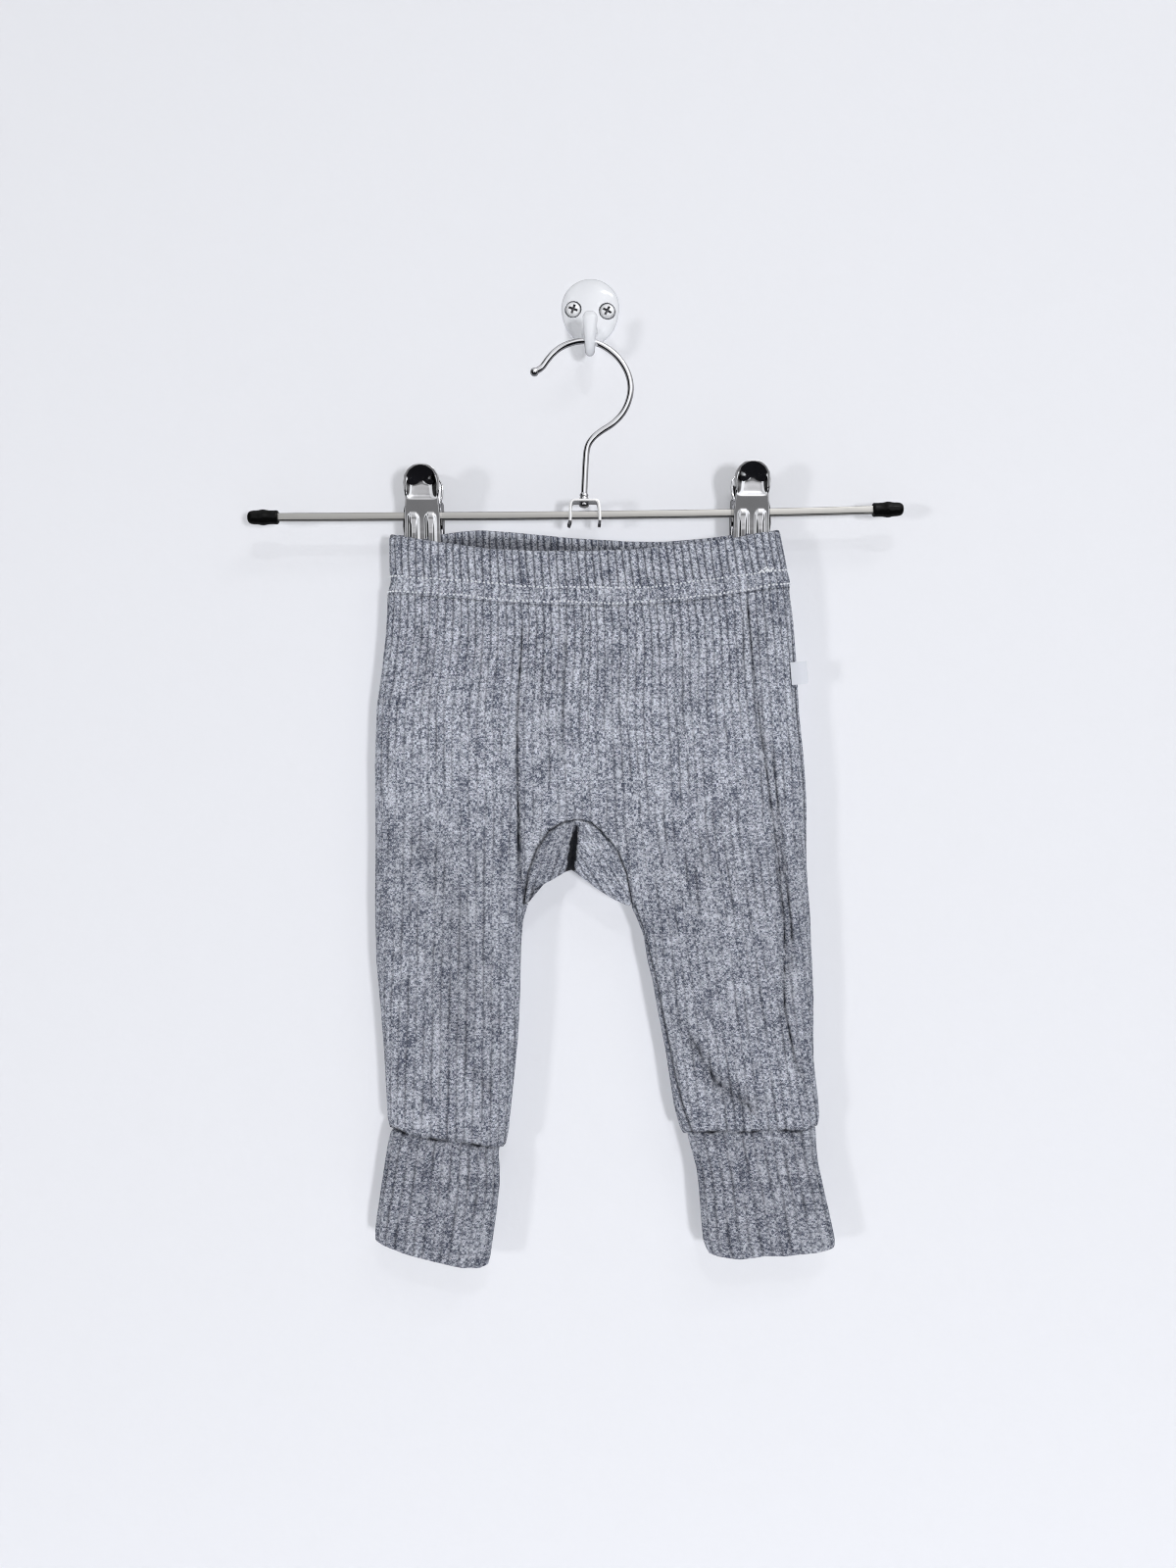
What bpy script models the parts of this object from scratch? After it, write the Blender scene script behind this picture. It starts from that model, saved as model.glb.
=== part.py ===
"""Ribbed baby leggings on a chrome clip hanger that hangs from an enamel wall hook.

Frame: metres, X to the right, Z up, +Y into the wall. The origin is the centre of the
wall plate's back face. Lengths in the tables below are millimetres.
"""
import math

import bmesh
import bpy
import numpy as np
from mathutils import Vector

MM = 0.001
DROP = 6.4              # heights of the cloth and the hanger count from this far below the origin

# Places on the front of the cloth are written as they look from the front at the middle
# plane of the cloth, and are drawn in towards the eye line for their real depth.
EYE_X = -1.0
EYE_Z = -247.3
EYE_AWAY = 700.0
MIDDLE = -20.0


def seen(x, z, y):
    k = (y - MIDDLE + EYE_AWAY) / EYE_AWAY
    return EYE_X + (x - EYE_X) * k, EYE_Z + (z - EYE_Z) * k


# cloth
WALL = 1.9              # wall between a groove and the plain inside
RIB_RISE = 0.55         # ridge above its grooves
RIBS = 56               # ribs from side seam to side seam
SEAM = 0.15             # half of the gap at a seam
ARCH_Z = -265.2         # top of the crotch seam
CROTCH_Z = -309.2       # level at which the two legs part
GRAIN_LEFT = -0.02      # sideways lean of the ribs, per millimetre down
GRAIN_RIGHT = 0.13

# silhouette: (z, x)
SIDE_LEFT = [(-112, -103.6), (-133, -103.5), (-143, -103.0), (-148, -104.4), (-157, -104.6),
             (-172, -105.8), (-192, -108.4), (-207, -110.6), (-238, -111.7), (-277, -111.3),
             (-308, -111.7), (-338, -111.0), (-363, -108.8), (-387, -106.9), (-411, -105.7),
             (-420, -105.2), (-425, -104.2), (-429, -102.6), (-434, -101.0)]
SIDE_RIGHT = [(-112, 97.4), (-120, 98.6), (-134, 101.4), (-142, 103.4), (-148, 103.1),
              (-163, 105.0), (-181, 106.6), (-211, 108.6), (-235, 111.0), (-256, 112.4),
              (-280, 112.3), (-296, 112.9), (-316, 114.4), (-330, 114.9), (-356, 116.1),
              (-390, 116.2), (-405, 118.0), (-415, 119.0), (-421, 119.1), (-426, 118.0),
              (-430, 116.8), (-434, 116.2)]
INNER_LEFT = [(-302.4, -29.1), (-310.8, -32.4), (-318.8, -34.7), (-331.5, -35.8),
              (-354, -36.2), (-375, -37.0), (-395, -38.9), (-405, -39.9), (-419, -41.5),
              (-428, -42.3), (-434, -43.6), (-438, -46.6)]
INNER_RIGHT = [(-311.6, 21.9), (-317, 24.5), (-326, 28.0), (-339, 30.1), (-349, 32.6),
               (-369, 36.2), (-386, 39.6), (-398, 41.4), (-415, 44.0), (-426, 47.0),
               (-431, 50.0), (-436, 51.5)]
NOTCH = [(-29.1, -302.4), (-23.5, -299.3), (-17.9, -296.3), (-13.0, -293.2), (-10.2, -292.2),
         (-6.5, -294.0), (1.0, -300.1), (10.7, -306.5), (21.9, -311.6)]
# crotch seam at the two sides of its top: (z, left x, right x, notch x and z on each side)
ARCH = [(-267.0, -14.2, 0.2, -11.4, -292.6, -7.6, -293.4),
        (-271.5, -20.8, 5.4, -13.6, -293.6, -2.6, -297.2),
        (-280.0, -27.0, 13.2, -18.4, -296.5, 5.0, -302.8),
        (-293.0, -31.8, 18.6, -24.2, -299.7, 12.8, -307.6),
        (CROTCH_Z, -33.9, 21.6, -31.6, -308.6, 20.2, -310.9)]
ARCH_TOP = (-6.2, ARCH_Z, -9.6, -292.1)
# front inseam of the right leg, inside its edge: (z, x)
INSEAM_RIGHT = [(-309, 22.4), (-322, 27.4), (-341, 32.2), (-353, 35.3), (-365, 37.2),
                (-382, 40.8), (-398, 43.9), (-414, 47.9), (-427, 52.2), (-436, 54.5)]
# right side seam, inside the edge: (z, inset)
SIDE_SEAM = [(-140, 0.0), (-160, 0.5), (-185, 1.4), (-222, 1.4), (-262, 1.1), (-290, 0.0)]

# waistband: (x, z)
BAND_TOP_FRONT = [(-104, -117.8), (-95, -118.8), (-77.5, -121.6), (-52, -125.0),
                  (-26, -126.0), (-1, -126.0), (24.5, -125.0), (50, -121.9), (75.5, -119.2),
                  (88, -116.6), (99, -115.4)]
BAND_TOP_BACK = [(-104, -117.8), (-90, -118.2), (-76, -117.4), (-66, -116.0), (-57, -115.3),
                 (-42, -116.3), (-26, -117.8), (-11, -119.3), (20, -121.2), (40, -121.3),
                 (60, -119.6), (80, -117.0), (99, -115.4)]
BAND_LOW = [(-105, -147.9), (-76, -150.2), (-46, -152.8), (-23.5, -154.2), (6.6, -154.7),
            (36, -153.7), (58.6, -151.2), (81, -147.6), (104, -144.3)]
CUFF_SEAM_LEFT = [(-102.5, -427.3), (-99, -428.2), (-95, -429.9), (-87, -431.4), (-80, -432.4),
                  (-71, -433.4), (-63, -434.6), (-50.5, -437.0), (-46, -437.4)]
CUFF_SEAM_RIGHT = [(50, -430.4), (54, -429.0), (64, -428.4), (73, -428.0), (82, -428.4),
                   (90, -427.5), (98, -427.4), (110, -428.3), (117, -426.4)]
# cuffs: (share of the way down, left x, right x)
CUFF_LEFT = [(0.0, -102.0, -46.9), (0.06, -103.6, -48.0), (0.2, -105.2, -47.4),
             (0.36, -106.7, -47.6), (0.55, -108.4, -48.8), (0.76, -110.2, -50.6),
             (0.93, -111.2, -52.0), (1.0, -111.0, -53.2)]
CUFF_RIGHT = [(0.0, 50.6, 116.9), (0.14, 52.9, 117.1), (0.3, 55.6, 118.2),
              (0.46, 56.9, 120.5), (0.68, 57.9, 123.6), (0.9, 59.2, 126.4),
              (0.97, 60.8, 126.9), (1.0, 62.0, 126.6)]
CUFF_LOW_LEFT = [(-111.5, -485.6), (-107, -489.0), (-97, -492.2), (-81, -496.3), (-66, -499.6),
                 (-57, -499.6), (-53, -497.4)]
CUFF_LOW_RIGHT = [(61.5, -491.6), (66, -493.5), (72, -494.4), (77.5, -495.2), (84, -494.4),
                  (90, -493.4), (101, -493.4), (116, -491.8), (124, -490.0), (127, -488.2)]

BAND_TOP_FRONT = [seen(x, z, -30.0) for x, z in BAND_TOP_FRONT]
BAND_LOW = [seen(x, z, -31.0) for x, z in BAND_LOW]
CUFF_SEAM_LEFT = [seen(x, z, -27.0) for x, z in CUFF_SEAM_LEFT]
CUFF_SEAM_RIGHT = [seen(x, z, -27.0) for x, z in CUFF_SEAM_RIGHT]
INSEAM_RIGHT = [seen(x, z, -27.0)[::-1] for z, x in INSEAM_RIGHT]
CUFF_LOW_LEFT = [seen(x, z, -25.5) for x, z in CUFF_LOW_LEFT]
CUFF_LOW_RIGHT = [seen(x, z, -25.5) for x, z in CUFF_LOW_RIGHT]

# creases: (side, half width, depth, [(x, z), ...])
CREASES = [
    ("front", 2.4, 1.7, [(-34.2, -155), (-36.2, -184), (-37.7, -215), (-37.2, -298),
                         (-35.2, -305)]),
    ("front", 2.2, 1.1, [(-12.8, -171), (-14.0, -192), (-14.6, -227)]),
    ("front", 9.0, 2.0, [(-101, -253), (-88, -280), (-74, -308), (-78, -345), (-72, -372),
                         (-62, -392)]),
    ("front", 5.0, 2.3, [(50, -349), (57, -389), (71, -403), (82, -415), (90, -426)]),
    ("front", 2.6, 1.7, [(88.7, -217), (98, -284), (101.5, -320), (101.5, -365),
                         (108, -394), (117, -419)]),
    ("front", 6.0, 1.6, [(93, -150), (87, -172), (84, -191)]),
    ("back", 5.0, 2.0, [(-70, -156), (-58, -190), (-40, -222), (-18, -246)]),
    ("back", 5.0, 2.0, [(72, -154), (60, -188), (42, -220), (16, -246)]),
    ("back", 5.0, 1.8, [(-92, -300), (-80, -335), (-72, -372), (-78, -410)]),
    ("back", 5.0, 1.8, [(96, -302), (84, -338), (82, -374), (92, -412)]),
    ("front", 2.6, 2.6, [(-7.2, -268), (-8.8, -280), (-10.4, -292)]),
]

# hanger
BAR_Y = -20.0
BAR_HALF = 1.95
BAR = [(-169.3, -108.6), (-128, -108.4), (-86.7, -108.1), (-44, -107.9), (-2.0, -107.5),
       (42, -107.0), (85.7, -106.3), (120, -105.5), (155.6, -104.5)]
CLIP_X = {"left": -86.6, "right": 83.5}
WIRE_R = 1.6
HOOK = [(-29.1, -33.1), (-25.1, -30.6), (-22.0, -26.5), (-18.6, -22.7), (-13.8, -19.4),
        (-7.7, -17.3), (-2.6, -16.8), (2.4, -17.5), (8.2, -20.1), (14.3, -25.0),
        (19.2, -32.4), (21.2, -40.3), (20.2, -47.6), (17.0, -54.4), (11.7, -59.9),
        (5.6, -63.9), (1.2, -67.7), (-1.5, -72.8), (-2.4, -82.6), (-3.1, -98.5)]
RIVET_X = -3.1
# clip leaf: (z above the bar, half width, reach of the outer face, flange end, pressed in)
LEAF = [(24.9, 1.8, 11.9, 10.6, 0.0), (24.1, 4.4, 11.8, 10.3, 0.3), (22.0, 7.0, 11.4, 9.8, 0.9),
        (19.4, 8.7, 10.8, 9.0, 1.2), (15.6, 9.3, 10.0, 8.0, 1.3), (12.0, 9.1, 9.3, 7.3, 1.1),
        (9.8, 8.7, 8.8, 6.8, 0.8), (8.8, 8.4, 8.6, 4.0, 0.0), (5.2, 8.6, 7.4, -3.4, 0.0),
        (1.4, 9.0, 6.5, -3.6, 0.0), (-0.3, 9.1, 6.2, -3.6, 0.0), (-6.0, 9.3, 5.2, -3.2, 0.0), (-8.6, 9.3, 4.8, 1.75, 0.0),
        (-15.0, 9.4, 4.1, 1.7, 0.0), (-25.0, 9.4, 2.8, 1.6, 0.0)]
LEAF_WALL = 0.9


for old in list(bpy.data.objects):
    bpy.data.objects.remove(old)


def material(name, color, rough, metal=0.0):
    made = bpy.data.materials.new(name)
    made.use_nodes = True
    shader = made.node_tree.nodes["Principled BSDF"]
    shader.inputs["Base Color"].default_value = (*color, 1.0)
    shader.inputs["Roughness"].default_value = rough
    shader.inputs["Metallic"].default_value = metal
    made.diffuse_color = (*color, 1.0)
    return made


MATERIALS = {
    "rib_knit": material("rib_knit", (0.42, 0.44, 0.50), 0.95),
    "label_tape": material("label_tape", (0.93, 0.93, 0.92), 0.8),
    "chrome": material("chrome", (0.80, 0.81, 0.83), 0.12, 1.0),
    "brushed_nickel": material("brushed_nickel", (0.66, 0.65, 0.62), 0.35, 1.0),
    "rubber": material("rubber", (0.015, 0.015, 0.017), 0.6),
    "enamel": material("enamel", (0.90, 0.91, 0.93), 0.2),
    "screw_steel": material("screw_steel", (0.82, 0.82, 0.83), 0.3, 1.0),
}


class Shell:
    """Points and faces of one closed solid, gathered row by row."""

    def __init__(self):
        self.points = []
        self.faces = []

    def row(self, points):
        first = len(self.points)
        self.points.extend([tuple(float(v) for v in p) for p in points])
        return list(range(first, len(self.points)))

    def zip(self, a, ua, b, ub):
        """Triangles and quads between two rows, matched by their parameters."""
        i = 0
        j = 0
        while i < len(a) - 1 or j < len(b) - 1:
            if i < len(a) - 1 and j < len(b) - 1 and abs(ua[i + 1] - ub[j + 1]) < 0.2:
                self.faces.append((a[i], a[i + 1], b[j + 1], b[j]))
                i += 1
                j += 1
            elif j == len(b) - 1 or (i < len(a) - 1 and ua[i + 1] <= ub[j + 1]):
                self.faces.append((a[i], a[i + 1], b[j]))
                i += 1
            else:
                self.faces.append((a[i], b[j + 1], b[j]))
                j += 1

    def build(self, name, slot, drop=DROP, smooth=False):
        mesh = bpy.data.meshes.new(name)
        mesh.from_pydata([(x * MM, y * MM, (z - drop) * MM) for x, y, z in self.points],
                         [], self.faces)
        work = bmesh.new()
        work.from_mesh(mesh)
        bmesh.ops.recalc_face_normals(work, faces=work.faces[:])
        bmesh.ops.triangulate(work, faces=[f for f in work.faces if len(f.verts) > 3])
        if work.calc_volume(signed=True) < 0:
            bmesh.ops.reverse_faces(work, faces=work.faces[:])
        work.to_mesh(mesh)
        work.free()
        return place(mesh, name, slot, smooth)


def place(mesh, name, slot, smooth=False):
    for face in mesh.polygons:
        face.use_smooth = smooth
    mesh.materials.clear()
    mesh.materials.append(MATERIALS[slot])
    made = bpy.data.objects.new(name, mesh)
    bpy.context.scene.collection.objects.link(made)
    return made


def finish(made, name, slot):
    made.name = name
    made.data.materials.clear()
    made.data.materials.append(MATERIALS[slot])


def combine(target, other, operation):
    """Boolean of two objects; the second one is used up."""
    modifier = target.modifiers.new("join", "BOOLEAN")
    modifier.operation = operation
    modifier.solver = "EXACT"
    modifier.object = other
    graph = bpy.context.evaluated_depsgraph_get()
    graph.update()
    made = bpy.data.meshes.new_from_object(target.evaluated_get(graph))
    target.modifiers.clear()
    target.data = made
    bpy.data.objects.remove(other)
    return target


def table(rows, at, column=1):
    keys = np.array([r[0] for r in rows], float)
    values = np.array([r[column] for r in rows], float)
    order = np.argsort(keys)
    return np.interp(at, keys[order], values[order])


def distance(px, pz, path):
    """Distance of each point to a polyline, and how far along it the foot lies (0 to 1)."""
    best = np.full(px.shape, 1e9)
    along = np.zeros(px.shape)
    ends = np.array(path, float)
    steps = np.hypot(*(ends[1:] - ends[:-1]).T)
    total = steps.sum()
    start = 0.0
    for (ax, az), (bx, bz), step in zip(ends[:-1], ends[1:], steps):
        t = np.clip(((px - ax) * (bx - ax) + (pz - az) * (bz - az)) / step ** 2, 0, 1)
        gap = np.hypot(px - ax - t * (bx - ax), pz - az - t * (bz - az))
        near = gap < best
        best = np.where(near, gap, best)
        along = np.where(near, (start + t * step) / total, along)
        start += step
    return best, along


def smooth(t):
    t = np.clip(t, 0, 1)
    return t * t * (3 - 2 * t)


LEFT_PATH = [(x, z) for z, x in SIDE_LEFT]
RIGHT_PATH = [(x, z) for z, x in SIDE_RIGHT]
NOTCH_PATH = [(x, z) for z, x in reversed(INNER_LEFT)] + NOTCH[1:-1] + [
    (x, z) for z, x in INNER_RIGHT]


def hem_height(x, z):
    seam = np.where(x < 0, table(CUFF_SEAM_LEFT, x), table(CUFF_SEAM_RIGHT, x))
    return z - seam


def middle_y(z):
    return -22.4 + 2.4 * smooth((-150 - z) / 60)


def reach(side, x, z):
    """Half depth of the cloth tube in front of or behind its middle plane."""
    if side == "front":
        body = 8.8 + 0.8 * smooth((-150 - z) / 60)
    else:
        body = 3.2 + 5.0 * smooth((-145 - z) / 70)
    leg = smooth((-290 - z) / 120)
    body = body * (1 - leg) + 8.2 * leg
    roll = np.clip(hem_height(x, z) / 5.0, 0, 1)
    roll = np.sqrt(1 - (1 - roll) ** 2)
    return 6.2 + (body - 6.2) * np.where(z < -400, roll, 1.0)


def crease(side, x, z):
    total = np.zeros(np.shape(x))
    for where, width, depth, path in CREASES:
        if where != side:
            continue
        if side == "front":
            path = [seen(px, pz, -30.0) for px, pz in path]
        gap, along = distance(x, z, path)
        ends = smooth(along / 0.18) * smooth((1 - along) / 0.18)
        total = total + depth * np.exp(-(gap / width) ** 2) * ends
    return total


def cloth_y(side, x, z, inset):
    """Depth of the wall at a place of the silhouette, outside (inset 0) or inside."""
    gap = np.minimum(distance(x, z, LEFT_PATH)[0], distance(x, z, RIGHT_PATH)[0])
    gap = np.minimum(gap, distance(x, z, NOTCH_PATH)[0])
    radius = 11.0 + 3.0 * smooth((-140 - z) / 50)
    deep = reach(side, x, z)
    gap = np.maximum(gap - inset, 0)
    turn = np.clip(gap / (radius - inset), 0, 1)
    full = np.sqrt(1 - (1 - turn) ** 2)
    swell = 1.6 * smooth((-150 - z) / 60) * smooth((gap - 4) / 30)
    calm = smooth((gap - 2) / 6)
    fall = (deep - inset) * full + swell - crease(side, x, z) * calm
    sign = -1.0 if side == "front" else 1.0
    return middle_y(z) + sign * fall


def profile(side, level, ends, inset, count=261):
    """Dense row from edge to edge: level(x) gives its height, ends(z) its two edges."""
    t = (1 - np.cos(np.linspace(0, math.pi, count))) / 2
    left = ends[0](level(np.array([-60.0]))[0])
    right = ends[1](level(np.array([60.0]))[0])
    for _ in range(4):
        left = ends[0](level(np.array([left]))[0])
        right = ends[1](level(np.array([right]))[0])
    x = left + inset + (right - left - 2 * inset) * t
    z = level(x)
    y = cloth_y(side, x, z, inset)
    y[0] = middle_y(z[0])
    y[-1] = middle_y(z[-1])
    return np.stack([x, y, z], axis=1)


def measure(points):
    steps = np.linalg.norm(np.diff(points[:, :2], axis=0), axis=1)
    return np.concatenate([[0], np.cumsum(steps)])


def at(points, s, wanted):
    return np.stack([np.interp(wanted, s, points[:, k]) for k in range(3)], axis=1)


def outward(points, s, wanted):
    a = at(points, s, wanted - 0.25)
    b = at(points, s, wanted + 0.25)
    tangent = b - a
    normal = np.stack([tangent[:, 1], -tangent[:, 0], np.zeros(len(a))], axis=1)
    return normal / np.maximum(np.linalg.norm(normal, axis=1), 1e-9)[:, None]


EDGE_LEFT = lambda z: table(SIDE_LEFT, z)
EDGE_RIGHT = lambda z: table(SIDE_RIGHT, z)
LEG_LEFT = lambda z: table(INNER_LEFT, z)
LEG_RIGHT = lambda z: table(INNER_RIGHT, z)


class Row:
    """One level of one panel: the dense line, its seam ends and its rib scale."""

    def __init__(self, side, level, part, inset, grain):
        self.front_turn = -1.0 if side == "front" else 1.0
        ends = [EDGE_LEFT, EDGE_RIGHT]
        z_mid = float(level(np.array([-70.0 if part == "left" else 70.0]))[0])
        legs = z_mid < CROTCH_Z - 0.2
        if legs and part == "left":
            ends = [EDGE_LEFT, LEG_LEFT]
        if legs and part == "right":
            ends = [LEG_RIGHT, EDGE_RIGHT]
        front = profile("front", level, ends, inset)
        back = profile("back", level, ends, inset)
        sf = measure(front)
        sb = measure(back)
        own, s = (front, sf) if side == "front" else (back, sb)
        start, stop = SEAM, s[-1] - SEAM
        # the two seams that lie on the front of the right edge and the right inseam
        wrap = 0.0
        if part != "left":
            right_x = front[-1, 0] - table(SIDE_SEAM, z_mid)
            wrap = sf[-1] - np.interp(right_x, front[:, 0], sf)
        lead = 0.0
        if legs and part == "right":
            inner = float(level(np.array([front[0, 0]]))[0])
            lead = np.interp(max(table(INSEAM_RIGHT, inner), front[0, 0]), front[:, 0], sf)
        if side == "front":
            start = max(start, lead + SEAM)
            stop = min(stop, sf[-1] - wrap - SEAM)
        else:
            if lead > SEAM:
                piece = at(front, sf, np.linspace(lead - SEAM, 0, 12))
                own = np.concatenate([piece[:-1], own])
                s = np.concatenate([-np.linspace(lead - SEAM, 0, 12)[:-1], s])
                start = s[0]
            if wrap > SEAM:
                piece = at(front, sf, sf[-1] - np.linspace(0, wrap - SEAM, 10))
                own = np.concatenate([own, piece[1:]])
                s = np.concatenate([s, s[-1] + np.linspace(0, wrap - SEAM, 10)[1:]])
                stop = s[-1]
        if not legs and part != "whole":
            column = 1 if part == "left" else 2
            arch = [(ARCH_Z, ARCH_TOP[0], ARCH_TOP[0])] + [r[:3] for r in ARCH]
            edge = np.interp(table(arch, z_mid, column), back[:, 0] if side == "back"
                             else front[:, 0], sb if side == "back" else sf)
            if part == "left":
                stop = edge
            else:
                start = edge
        self.points, self.s, self.start, self.stop = own, s, start, stop
        self.z = z_mid
        self.grain = grain
        base = sb if side == "back" else sf
        line = back if side == "back" else front
        if grain is None:
            self.pitch = base[-1] / RIBS
            self.zero = 0.0
        else:
            # grain: rib number, place of that rib at ARCH_Z, lean, pitch at ARCH_Z
            number, x0, lean, pitch = grain
            place_x = x0 + lean * (ARCH_Z - self.z)
            self.pitch = pitch * (1 + 0.05 * smooth((ARCH_Z - self.z) / 160))
            self.zero = np.interp(place_x, line[:, 0], base) - number * self.pitch

    def rib(self, s):
        return (s - self.zero) / self.pitch

    def outer(self, extra=()):
        first, last = self.rib(self.start), self.rib(self.stop)
        marks = [m / 2 for m in range(math.ceil(first * 2), math.floor(last * 2) + 1)]
        marks = [m for m in marks if m - first > 0.22 and last - m > 0.22]
        for value in extra:
            marks = [m for m in marks if abs(m - value) > 0.2] + [value]
        ribs = np.array(sorted([first, last] + marks))
        s = self.zero + ribs * self.pitch
        rise = np.array([RIB_RISE if abs(m % 1 - 0.5) < 0.01 else 0.0 for m in ribs])
        rise[0] = rise[-1] = 0.0
        near = np.minimum(s - self.start, self.stop - s)
        rise = rise * np.clip(near / 1.2, 0, 1)
        points = at(self.points, self.s, s)
        points = points + outward(self.points, self.s, s) * (rise * self.front_turn
                                                             * -1.0)[:, None]
        return points, ribs

    def inner(self, count, extra=()):
        first, last = self.rib(self.start), self.rib(self.stop)
        ribs = first + (last - first) * edged(np.linspace(0, 1, count))
        for value in extra:
            ribs = np.array(sorted([m for m in ribs if abs(m - value) > 0.6] + [value]))
            ribs[0], ribs[-1] = first, last
        return at(self.points, self.s, self.zero + ribs * self.pitch), ribs


def flat_level(z):
    return lambda x: np.full(np.shape(x), float(z))


def body_level(t):
    return lambda x: (table(BAND_LOW, x) - 2 * SEAM) * (1 - t) + ARCH_Z * t


def leg_level(part, t):
    rows = CUFF_SEAM_LEFT if part == "left" else CUFF_SEAM_RIGHT
    return lambda x: (CROTCH_Z - 0.5) * (1 - t) + (table(rows, x) + 2 * SEAM) * t


BODY_STEPS = [0.0, 0.12, 0.34, 0.56, 0.78, 1.0]
LEG_STEPS = [0.0, 0.25, 0.5, 0.75, 0.92, 0.975, 1.0]


def panel(side, name):
    shell = Shell()
    top = Row(side, body_level(1.0), "whole", 0.0, None)
    ux = np.interp(ARCH_TOP[0], top.points[:, 0][top.s <= top.s[-1]], top.s)
    grains = {}
    for part, number, lean in [("left", 10.0, GRAIN_LEFT), ("right", 45.0, GRAIN_RIGHT)]:
        x0 = float(at(top.points, top.s, np.array([number * top.pitch]))[0, 0])
        grains[part] = (number, x0, lean, top.pitch)
    apex = top.rib(ux)
    sides = {"outer": {}, "inner": {}}
    for kind, inset in [("outer", 0.0), ("inner", WALL)]:
        lines = []
        for t in BODY_STEPS:
            row = Row(side, body_level(t), "whole", inset, None)
            extra = (apex,) if t == 1.0 else ()
            made = row.outer(extra) if kind == "outer" else row.inner(17, extra)
            lines.append((shell.row(made[0]), made[1]))
        for a, b in zip(lines[:-1], lines[1:]):
            shell.zip(a[0], a[1], b[0], b[1])
        sides[kind]["whole"] = lines
        last, ribs = lines[-1]
        split = int(np.argmin(np.abs(ribs - apex)))
        for part in ("left", "right"):
            levels = [flat_level(r[0]) for r in ARCH]
            levels += [leg_level(part, t) for t in LEG_STEPS]
            if part == "left":
                run = [(last[:split + 1], ribs[:split + 1])]
            else:
                run = [(last[split:], ribs[split:])]
            for level in levels:
                row = Row(side, level, part, inset, grains[part])
                made = row.outer() if kind == "outer" else row.inner(8)
                run.append((shell.row(made[0]), made[1]))
            for a, b in zip(run[:-1], run[1:]):
                shell.zip(a[0], a[1], b[0], b[1])
            sides[kind][part] = run
    out, inn = sides["outer"], sides["inner"]
    rim(shell, out["whole"][0], inn["whole"][0])
    for part in ("left", "right"):
        rim(shell, out[part][-1], inn[part][-1])
    close(shell, out["whole"], inn["whole"], 0)
    close(shell, out["whole"], inn["whole"], -1)
    for part in ("left", "right"):
        close(shell, out[part], inn[part], 0)
        close(shell, out[part], inn[part], -1)
    return shell.build(name, "rib_knit")


def rim(shell, a, b):
    def share(u):
        return (u - u[0]) / (u[-1] - u[0]) * 100
    shell.zip(a[0], share(a[1]), b[0], share(b[1]))


def close(shell, outer, inner, end):
    for (a, _), (b, _), (c, _), (d, _) in zip(outer[:-1], outer[1:], inner[:-1], inner[1:]):
        shell.faces.append((a[end], b[end], d[end], c[end]))


def ring(name, slot, rows):
    """Closed tube from loops: each row is (outer points, inner points)."""
    shell = Shell()
    outer = [shell.row(o) for o, _ in rows]
    inner = [shell.row(i) for _, i in rows]
    for lines in (outer, inner):
        for a, b in zip(lines[:-1], lines[1:]):
            for k in range(len(a)):
                n = (k + 1) % len(a)
                shell.faces.append((a[k], a[n], b[n], b[k]))
    for lines_o, lines_i in ((outer[0], inner[0]), (outer[-1], inner[-1])):
        ratio = len(lines_o) / len(lines_i)
        start = 0
        for k in range(len(lines_i)):
            stop = int(round((k + 1) * ratio))
            chain = [lines_o[m % len(lines_o)] for m in range(start, stop + 1)]
            a, b = lines_i[k], lines_i[(k + 1) % len(lines_i)]
            half = len(chain) // 2
            for m in range(half):
                shell.faces.append((chain[m], chain[m + 1], a))
            shell.faces.append((chain[half], b, a))
            for m in range(half, len(chain) - 1):
                shell.faces.append((chain[m], chain[m + 1], b))
            start = stop
    return shell.build(name, slot)


def edged(share):
    """Shares of a line drawn in towards its two ends."""
    return 0.35 * share + 0.65 * (1 - np.cos(math.pi * share)) / 2


def loop(front, back, sides, per, rise):
    """Loop round a tube from its front and back lines, with ribs, left edge first."""
    full = np.concatenate([front, back[::-1][1:]])
    s = measure(full)
    half = measure(front)[-1]
    share = np.arange(0, sides * per) / (sides * per)
    if rise == 0.0 and per == 1:
        share = edged(share)
    marks = np.concatenate([share * half, half + share * (s[-1] - half)])
    points = at(full, s, marks)
    if rise > 0:
        high = np.array([rise * (k % per != 0) for k in range(len(marks))])
        wide = np.concatenate([full[-40:-1], full, full[1:40]])
        ws = np.concatenate([s[-40:-1] - s[-1], s, s[1:40] + s[-1]])
        points = points + outward(wide, ws, marks) * high[:, None]
    return points


def waistband():
    rows = []
    for t in [0.0, 0.06, 0.5, 1.0]:
        pair = []
        for kind, inset, sides, per in [("outer", 0.0, RIBS, 2), ("inner", WALL, 22, 1)]:
            lines = []
            for side, crown in [("front", BAND_TOP_FRONT), ("back", BAND_TOP_BACK)]:
                def level(x, crown=crown):
                    return table(crown, x) * (1 - t) + table(BAND_LOW, x) * t
                lines.append(profile(side, level, [EDGE_LEFT, EDGE_RIGHT], inset))
            rise = 0.0 if kind == "inner" or t == 0.0 else RIB_RISE * (0.5 if t < 0.5 else 1)
            pair.append(loop(lines[0], lines[1], sides, per, rise))
        rows.append(tuple(pair))
    return ring("waistband", "rib_knit", rows)


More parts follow.
